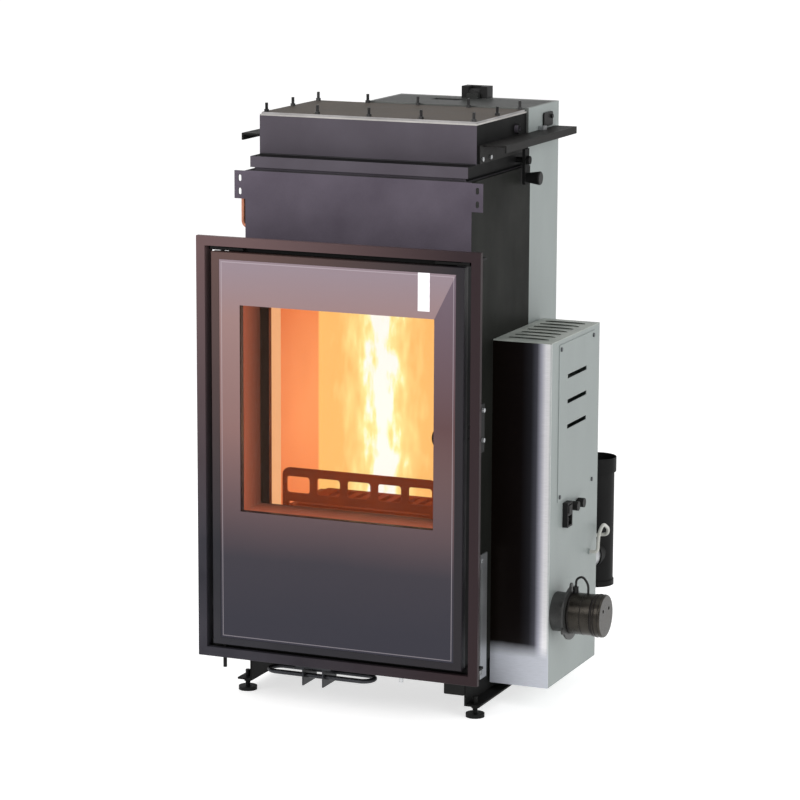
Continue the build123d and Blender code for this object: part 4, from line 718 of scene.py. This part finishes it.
@dataclass
class BoilerBody:
    """Jacket, surround, firebox, collar, collector, cover and rails.

    Sizes are in millimetres from the door frame's middle. side_weld is where the welds at the
    collar's sides start and how long they are, and stud is a stud's thread length and core radius.
    """

    body_top: float = 1130.0
    collar_top: float = 1160.0
    cover_top: float = 1248.0
    collar_half: float = 245.0
    lower_weld_front: float = 112.0
    upper_weld_front: float = 159.0
    upper_weld_inset: float = 2.0
    side_weld: tuple[float, float] = (114.0, 326.0)
    stud_rows: tuple[float, float, float] = (170.0, 302.5, 435.0)
    stud_inset: float = 11.0
    nut_height: float = 5.6
    stud: tuple[float, float] = (13.0, 3.02)

    def build(self) -> None:
        """Adds the welds round the collar and the threads on the cover's studs."""
        half = self.collar_half
        upper = half - self.upper_weld_inset
        start, length = self.side_weld
        welds = [weld((-half, self.lower_weld_front, self.body_top), Axis.X, 2 * half),
                 weld((-upper, self.upper_weld_front, self.collar_top), Axis.X, 2 * upper)]
        for side in (-half, half):
            welds.append(weld((side, start, self.body_top), Axis.Y, length))
        keep(Surface.join(welds), "collar_welds", "stove")
        Finish("weld_bead", (0.016, 0.015, 0.017), (0.034, 0.032, 0.036), metal=0.3,
               gloss=(0.35, 0.6)).dress("collar_welds")
        front, middle, rear = self.stud_rows
        reach = half - self.stud_inset
        spots = [(column * reach / 2, row) for row in (front, rear) for column in range(-2, 3)]
        spots += [(-reach, middle), (reach, middle)]
        studs = [thread((x, y, self.cover_top + self.nut_height), *self.stud) for x, y in spots]
        keep(Surface.join(studs), "stud_threads", "stove", smooth=False)

    def dress(self) -> None:
        """Gives the body's pieces their finishes."""
        # The jacket, collar and collector keep their paint on the faces towards the room; all their
        # other faces get a near-black painted shade.
        PaintedLightByFacing("body_paint", (0.070, 0.059, 0.077), (0.098, 0.084, 0.107), specular=0.03,
                 gloss=(0.42, 0.55), painted_away_shade=(0.011, 0.0115, 0.010)).dress("boiler_shell")
        PaintedLightByFacing("collector_paint", (0.066, 0.058, 0.070), (0.082, 0.073, 0.088),
                 specular=0.03, gloss=(0.42, 0.55), painted_away_shade=(0.008, 0.008, 0.008)).dress(
            "collar_flange", "collector_box")
        black = {"dark": (0.006, 0.006, 0.006), "light": (0.011, 0.011, 0.011)}
        Reveal("surround_paint", **black, specular=0.05, gloss=(0.5, 0.7)).dress("door_surround")
        Finish("black_paint", **black, specular=0.06, gloss=(0.5, 0.7)).dress(
            "smoke_tubes", "ash_pan", "base_rails", "crank_lever", "water_pipes", "auger_tube")
        # The firebox steel, log guard and grate glow with painted firelight.
        FirelitMetal("firebox_steel", (0.10, 0.030, 0.014), (0.17, 0.052, 0.024), gloss=(0.6, 0.8),
              painted_firelight=(0.110, 0.022, 0.006)).dress("firebox_shell")
        FireLit("firebrick", (0.10, 0.06, 0.035), (0.15, 0.09, 0.055), gloss=(0.85, 0.95),
                patch=14.0, grain=260.0, relief=0.7).dress("firebox_lining", "baffle_plate")
        FirelitMetal("guard_iron", (0.060, 0.008, 0.002), (0.12, 0.018, 0.005), specular=0.04,
              gloss=(0.6, 0.8), grain=420.0, relief=0.8, stretch=(0.3, 1.0, 1.0),
              painted_firelight=(0.150, 0.020, 0.002)).dress("log_guard", "grate")
        # The cover's top faces get a dark painted tone and its other faces a pale painted one, by
        # the way they face.
        PaintedLightByFacing("cover_paint", (0.056, 0.048, 0.041), (0.092, 0.079, 0.069), facing=Axis.Z,
                 sign=1.0, specular=0.06, gloss=(0.5, 0.7), patch=22.0,
                 painted_away_shade=(0.30, 0.29, 0.29)).dress("cover_plate")
        Finish("gasket_fibre", (0.30, 0.29, 0.28), (0.48, 0.46, 0.44), gloss=(0.9, 0.95),
               grain=700.0, relief=0.9).dress("cover_gasket")
        Finish("rail_steel", (0.008, 0.008, 0.008), (0.020, 0.019, 0.018), specular=0.06,
               gloss=(0.4, 0.6)).dress("side_rails")
        Finish("stud_steel", (0.020, 0.020, 0.021), (0.075, 0.074, 0.074), metal=0.7,
               gloss=(0.3, 0.5)).dress("cover_studs", "stud_threads")
        Finish("bright_zinc", (0.30, 0.31, 0.32), (0.52, 0.53, 0.54), metal=0.8,
               gloss=(0.25, 0.42)).dress("zinc_fixings", "turbulators", "auger_screw",
                                         "flue_outlet", "blower_rotor")
        Finish("copper", (0.34, 0.12, 0.07), (0.55, 0.24, 0.15), metal=0.8,
               gloss=(0.25, 0.4)).dress("copper_pipe")


@dataclass
class ServiceSide:
    """Hopper, side cabinet, controls, blower and pipes.

    Sizes are in millimetres from the door frame's middle. A row of bands is a ring's start along
    the motor, width, inner radius and outer radius, and sleeve is the last three of them.
    louvre_span is where a vent slot starts along x and its length. foot_screw is a foot thread's
    start and length, core radius, pitch and ridge height.
    """

    blower: tuple[float, float] = (283.0, 205.0)
    bands: tuple[tuple[float, float, float, float], ...] = (
        (423.5, 4.0, 43.5, 45.0), (452.0, 2.0, 43.5, 44.6), (473.5, 6.0, 43.5, 45.2),
        (482.0, 3.0, 45.2, 46.3), (492.0, 1.5, 45.0, 45.9), (497.0, 0.9, 9.0, 16.0))
    feet: tuple[tuple[str, float, float], ...] = (
        ("foot_1", -264.0, 130.0), ("foot_2", 264.0, 130.0),
        ("foot_3", -264.0, 422.0), ("foot_4", 264.0, 422.0))
    foot_screw: tuple[float, float, float, float, float] = (9.0, 9.0, 5.02, 1.5, 0.4)
    louvres: int = 7
    louvre_span: tuple[float, float] = (275.0, 91.0)
    lip_back: float = 4.2
    lip_width: float = 5.0
    lip_rise: float = 2.2
    lip_skin: float = 0.8
    lid_edge: tuple[float, float] = (237.0, 535.0)
    lid_top: float = 787.0
    knuckle: Point = (53.1, 606.0, 1262.0)
    sleeve: tuple[float, float, float] = (25.8, 8.4, 9.6)

    def hood(self, row: float) -> Surface:
        """Pressed lip over one vent slot: a quarter ellipse that fades out at both ends.

        Its lower face rises by lip_rise * sin(pi t / 2) * sin(pi u) ** 0.3, where t runs across
        it and u along it, and its upper face lies lip_skin above that.

        Args:
            row: Distance of the slot's middle from the door frame's face, in millimetres.

        Returns:
            The closed surface.
        """
        rows, steps = 30, 8
        start, length = self.louvre_span
        along = np.linspace(0.02, 0.98, rows)[:, None]
        across = np.linspace(0.0, 1.0, steps)
        there = np.concatenate([across, across[::-1], across[:1]])[None, :]
        skin = np.concatenate([np.ones(steps), np.zeros(steps), np.ones(1)])[None, :]
        rise = np.sin(np.pi * there / 2) * np.sin(np.pi * along) ** 0.3
        points = np.zeros((rows, there.size, 3))
        points[..., 0] = start + length * along
        points[..., 1] = row + self.lip_back - self.lip_width * there
        points[..., 2] = self.lid_top + self.lip_rise * rise + self.lip_skin * skin
        points = points / 1000.0 - CENTRE
        ends = points.mean(axis=1, keepdims=True).repeat(there.size, axis=1)
        return Surface.grid(np.concatenate([ends[:1], points, ends[-1:]]))

    def build(self) -> None:
        """Adds the motor's bands, the vent lips, the lid's sleeve and the feet's threads."""
        y, z = self.blower
        bands = [ring((x, y, z), Axis.X, *sizes) for x, *sizes in self.bands]
        keep(Surface.join(bands), "motor_bands", "stove")
        low, high = self.lid_edge
        pitch = (high - low) / (self.louvres + 1)
        keep(Surface.join([self.hood(low + (index + 1) * pitch) for index in range(self.louvres)]),
             "vent_lips", "stove")
        sleeve = ring(self.knuckle, Axis.X, *self.sleeve, steps=40)
        keep(sleeve, "lid_sleeve", "lid")
        start, *sizes = self.foot_screw
        for body, x, foot_y in self.feet:
            keep(thread((x, foot_y, start), *sizes), body + "_thread", body,
                 smooth=False)

    def dress(self) -> None:
        """Gives the service pieces their finishes."""
        grey = {"dark": (0.220, 0.245, 0.238), "light": (0.280, 0.308, 0.300)}
        # The hopper's faces towards the right keep the grey; all its other faces, front and top
        # among them, get a darker painted shade.
        PaintedLightByFacing("hopper_grey", **grey, specular=0.2, gloss=(0.38, 0.5), patch=5.0,
                 facing=Axis.X, sign=1.0, stretch=(1.0, 1.0, 0.5),
                 painted_away_shade=(0.10, 0.105, 0.10)).dress("hopper_shell")
        Finish("lid_grey", (0.022, 0.023, 0.022), (0.052, 0.054, 0.052), specular=0.05,
               gloss=(0.35, 0.5), patch=16.0).dress("hopper_lid")
        Finish("cabinet_grey", **grey, specular=0.2, gloss=(0.38, 0.5), patch=5.0,
               stretch=(1.0, 1.0, 0.5)).dress("cabinet_shell", "access_panel")
        Finish("vent_sheet", (0.24, 0.26, 0.24), (0.36, 0.38, 0.35), specular=0.12,
               gloss=(0.35, 0.5), patch=22.0).dress("cabinet_lid", "vent_lips")
        # The cabinet front's brushed steel carries a painted highlight near its right edge and a
        # painted floor reflection at its foot.
        BrushedSheet("cabinet_brushed", (0.5,) * 3, (0.7,) * 3, metal=0.3, specular=0.10,
                     gloss=(0.3, 0.42), highlight_tones=(
                         (0.0, (0.005, 0.003, 0.002)), (0.50, (0.006, 0.004, 0.004)),
                         (0.66, (0.020, 0.019, 0.023)), (0.76, (0.085, 0.085, 0.105)),
                         (0.83, (0.48, 0.48, 0.56)), (0.90, (0.97, 0.96, 1.0)),
                         (0.96, (1.0, 0.99, 1.0)), (1.0, (0.55, 0.57, 0.57)))).dress(
            "cabinet_front")
        Finish("black_moulding", (0.006, 0.006, 0.006), (0.013, 0.013, 0.013), specular=0.15,
               gloss=(0.4, 0.6), grain=1400.0).dress(
            "lid_hinge", "lid_latch", "crank_knob", "power_inlet", "rocker_switch",
            "reset_button_front", "reset_button_rear", "switch_box", "lid_sleeve")
        Finish("lever_steel", (0.020, 0.021, 0.024), (0.060, 0.062, 0.068), metal=0.6,
               gloss=(0.25, 0.4)).dress("air_lever")
        Finish("panel_screw_steel", (0.030, 0.034, 0.038), (0.080, 0.085, 0.090), metal=0.6,
               gloss=(0.3, 0.5)).dress("panel_screws")
        Finish("foot_black", (0.005, 0.005, 0.005), (0.012, 0.012, 0.012), specular=0.10,
               gloss=(0.45, 0.65)).dress(
            "foot_front_left", "foot_front_right", "foot_rear_left", "foot_rear_right",
            *(body + "_thread" for body, _, _ in self.feet))
        Finish("flue_enamel", (0.006, 0.006, 0.006), (0.012, 0.012, 0.012), specular=0.08,
               gloss=(0.45, 0.6)).dress("flue_tee")
        Finish("motor_gunmetal", (0.020, 0.018, 0.015), (0.055, 0.050, 0.043), metal=0.75,
               gloss=(0.22, 0.36), patch=26.0).dress("blower_motor", "auger_motor")
        Finish("motor_dark", (0.010, 0.009, 0.009), (0.030, 0.027, 0.025), metal=0.6,
               gloss=(0.25, 0.4)).dress("motor_bands")
        Finish("housing_steel", (0.030, 0.030, 0.030), (0.075, 0.076, 0.074), metal=0.5,
               gloss=(0.30, 0.45), stretch=(1.0, 1.0, 0.3)).dress("blower_housing")
        Finish("hose_silicone", (0.36, 0.36, 0.33), (0.52, 0.52, 0.48), specular=0.3,
               gloss=(0.35, 0.5)).dress("pressure_hose")
        Finish("cable_black", (0.008, 0.008, 0.008), (0.016, 0.016, 0.016), specular=0.2,
               gloss=(0.35, 0.5)).dress("blower_cable")
        Finish("board_green", (0.02, 0.12, 0.05), (0.04, 0.2, 0.09), gloss=(0.4, 0.6)).dress(
            "control_board")


@dataclass(frozen=True)
class Lamp:
    """Soft square light: its place and aim in millimetres, size in metres and power in watts."""

    name: str
    spot: Point
    aim: Point
    size: float
    power: float
    colour: Colour

    def hang(self) -> None:
        """Adds the light to the scene, facing the point that it aims at."""
        light = bpy.data.lights.new(self.name, "AREA")
        light.energy, light.size, light.color = self.power, self.size, self.colour
        made = bpy.data.objects.new(self.name, light)
        made.location = place(*self.spot)
        way = Vector(place(*self.aim)) - made.location
        made.rotation_euler = way.to_track_quat("-Z", "Y").to_euler()
        bpy.context.collection.objects.link(made)


@dataclass
class Studio:
    """Floor, soft lights and the camera at the photograph's angle.

    The camera stands at a place in millimetres from the door frame's middle, and its angles are
    in degrees. Its lens is the focal length in pixels over the picture's width, times the
    sensor's width. The floor's sizes are in metres.
    """

    camera: Point = (2690.4, -6069.2, 1946.0)
    azimuth: float = 22.76
    elevation: float = 10.80
    roll: float = 0.26
    focal_pixels: float = 3282.0
    picture_width: float = 800.0
    sensor_width: float = 36.0
    far_clip: float = 60.0
    lamps: tuple[Lamp, ...] = (
        Lamp("key", (-1800, -3200, 2700), (0, 150, 600), 2.2, 90.0, (1.0, 0.98, 0.97)),
        Lamp("fill", (3600, -1200, 2300), (300, 300, 600), 2.4, 52.0, (0.95, 0.98, 1.0)),
        Lamp("top", (200, 300, 3600), (100, 300, 900), 2.0, 30.0, (1.0, 1.0, 1.0)))
    hearth_spot: Point = (-20, 210, 560)
    hearth_power: float = 0.9
    hearth_radius: float = 0.04
    world_strength: float = 0.56
    floor_radius: float = 28.0
    floor_flat: float = 6.0
    floor_curve: float = 0.0165
    floor_glow: float = 0.64

    def hearth(self) -> None:
        """Puts one small warm light before the flames, for the pieces round the fire."""
        light = bpy.data.lights.new("hearth", "POINT")
        light.energy, light.color = self.hearth_power, (1.0, 0.42, 0.16)
        light.shadow_soft_size = self.hearth_radius
        made = bpy.data.objects.new("hearth", light)
        made.location = place(*self.hearth_spot)
        bpy.context.collection.objects.link(made)

    def view(self) -> None:
        """Sets the camera on its place, turn, rise and roll."""
        lens = bpy.data.cameras.new("camera")
        lens.lens = self.focal_pixels / self.picture_width * self.sensor_width
        lens.sensor_width = self.sensor_width
        lens.clip_end = self.far_clip
        made = bpy.data.objects.new("camera", lens)
        turn, rise = math.radians(self.azimuth), math.radians(self.elevation)
        way = Vector((-math.sin(turn) * math.cos(rise), math.cos(turn) * math.cos(rise),
                      -math.sin(rise)))
        turned_to = way.to_track_quat("-Z", "Y").to_matrix().to_4x4()
        made.matrix_world = (Matrix.Translation(place(*self.camera)) @ turned_to
                             @ Matrix.Rotation(math.radians(self.roll), 4, "Z"))
        bpy.context.collection.objects.link(made)
        bpy.context.scene.camera = made

    def floor(self) -> None:
        """Pale round floor whose rim rises as floor_curve * (r - floor_flat) ** 2."""
        reach = np.linspace(0.0, self.floor_radius, 57)[:, None]
        angle = np.linspace(0.0, 2 * np.pi, 96, endpoint=False)[None, :]
        rim = self.floor_curve * np.clip(reach - self.floor_flat, 0.0, None) ** 2
        points = np.stack([reach * np.cos(angle), reach * np.sin(angle),
                           rim * np.ones_like(angle)], axis=-1)
        made = Surface.grid(points, wrap=True).to_object("floor")
        shader = Shader("floor_paper")
        grain = shader.noise(3.0, detail=2.0)
        shader.feed("Base Color", shader.ramp(grain, [(0.3, (0.64,) * 3), (0.7, (0.66,) * 3)]))
        shader.feed("Roughness", 0.75)
        shader.feed("Emission Color", (1.0, 1.0, 1.0, 1.0))
        shader.feed("Emission Strength", self.floor_glow)
        made.data.materials.append(shader.material)

    def build(self) -> None:
        """Makes the floor, the lights, the white surroundings and the camera."""
        self.view()
        self.floor()
        for lamp in self.lamps:
            lamp.hang()
        self.hearth()
        world = bpy.data.worlds.new("white_room")
        world.use_nodes = True
        white = world.node_tree.nodes["Background"]
        white.inputs["Color"].default_value = (1.0, 1.0, 1.0, 1.0)
        white.inputs["Strength"].default_value = self.world_strength
        bpy.context.scene.world = world
        bpy.context.scene.view_settings.view_transform = "Standard"
        LOG.info("studio: %d lights", len(self.lamps) + 1)


def main() -> None:
    """Builds and dresses the object and its studio in order."""
    logging.basicConfig(level=logging.INFO)
    Studio().build()
    for assembly in (FrontDoor(), BoilerBody(), ServiceSide()):
        assembly.build()
        assembly.dress()
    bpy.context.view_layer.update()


if __name__ == "__main__":
    main()
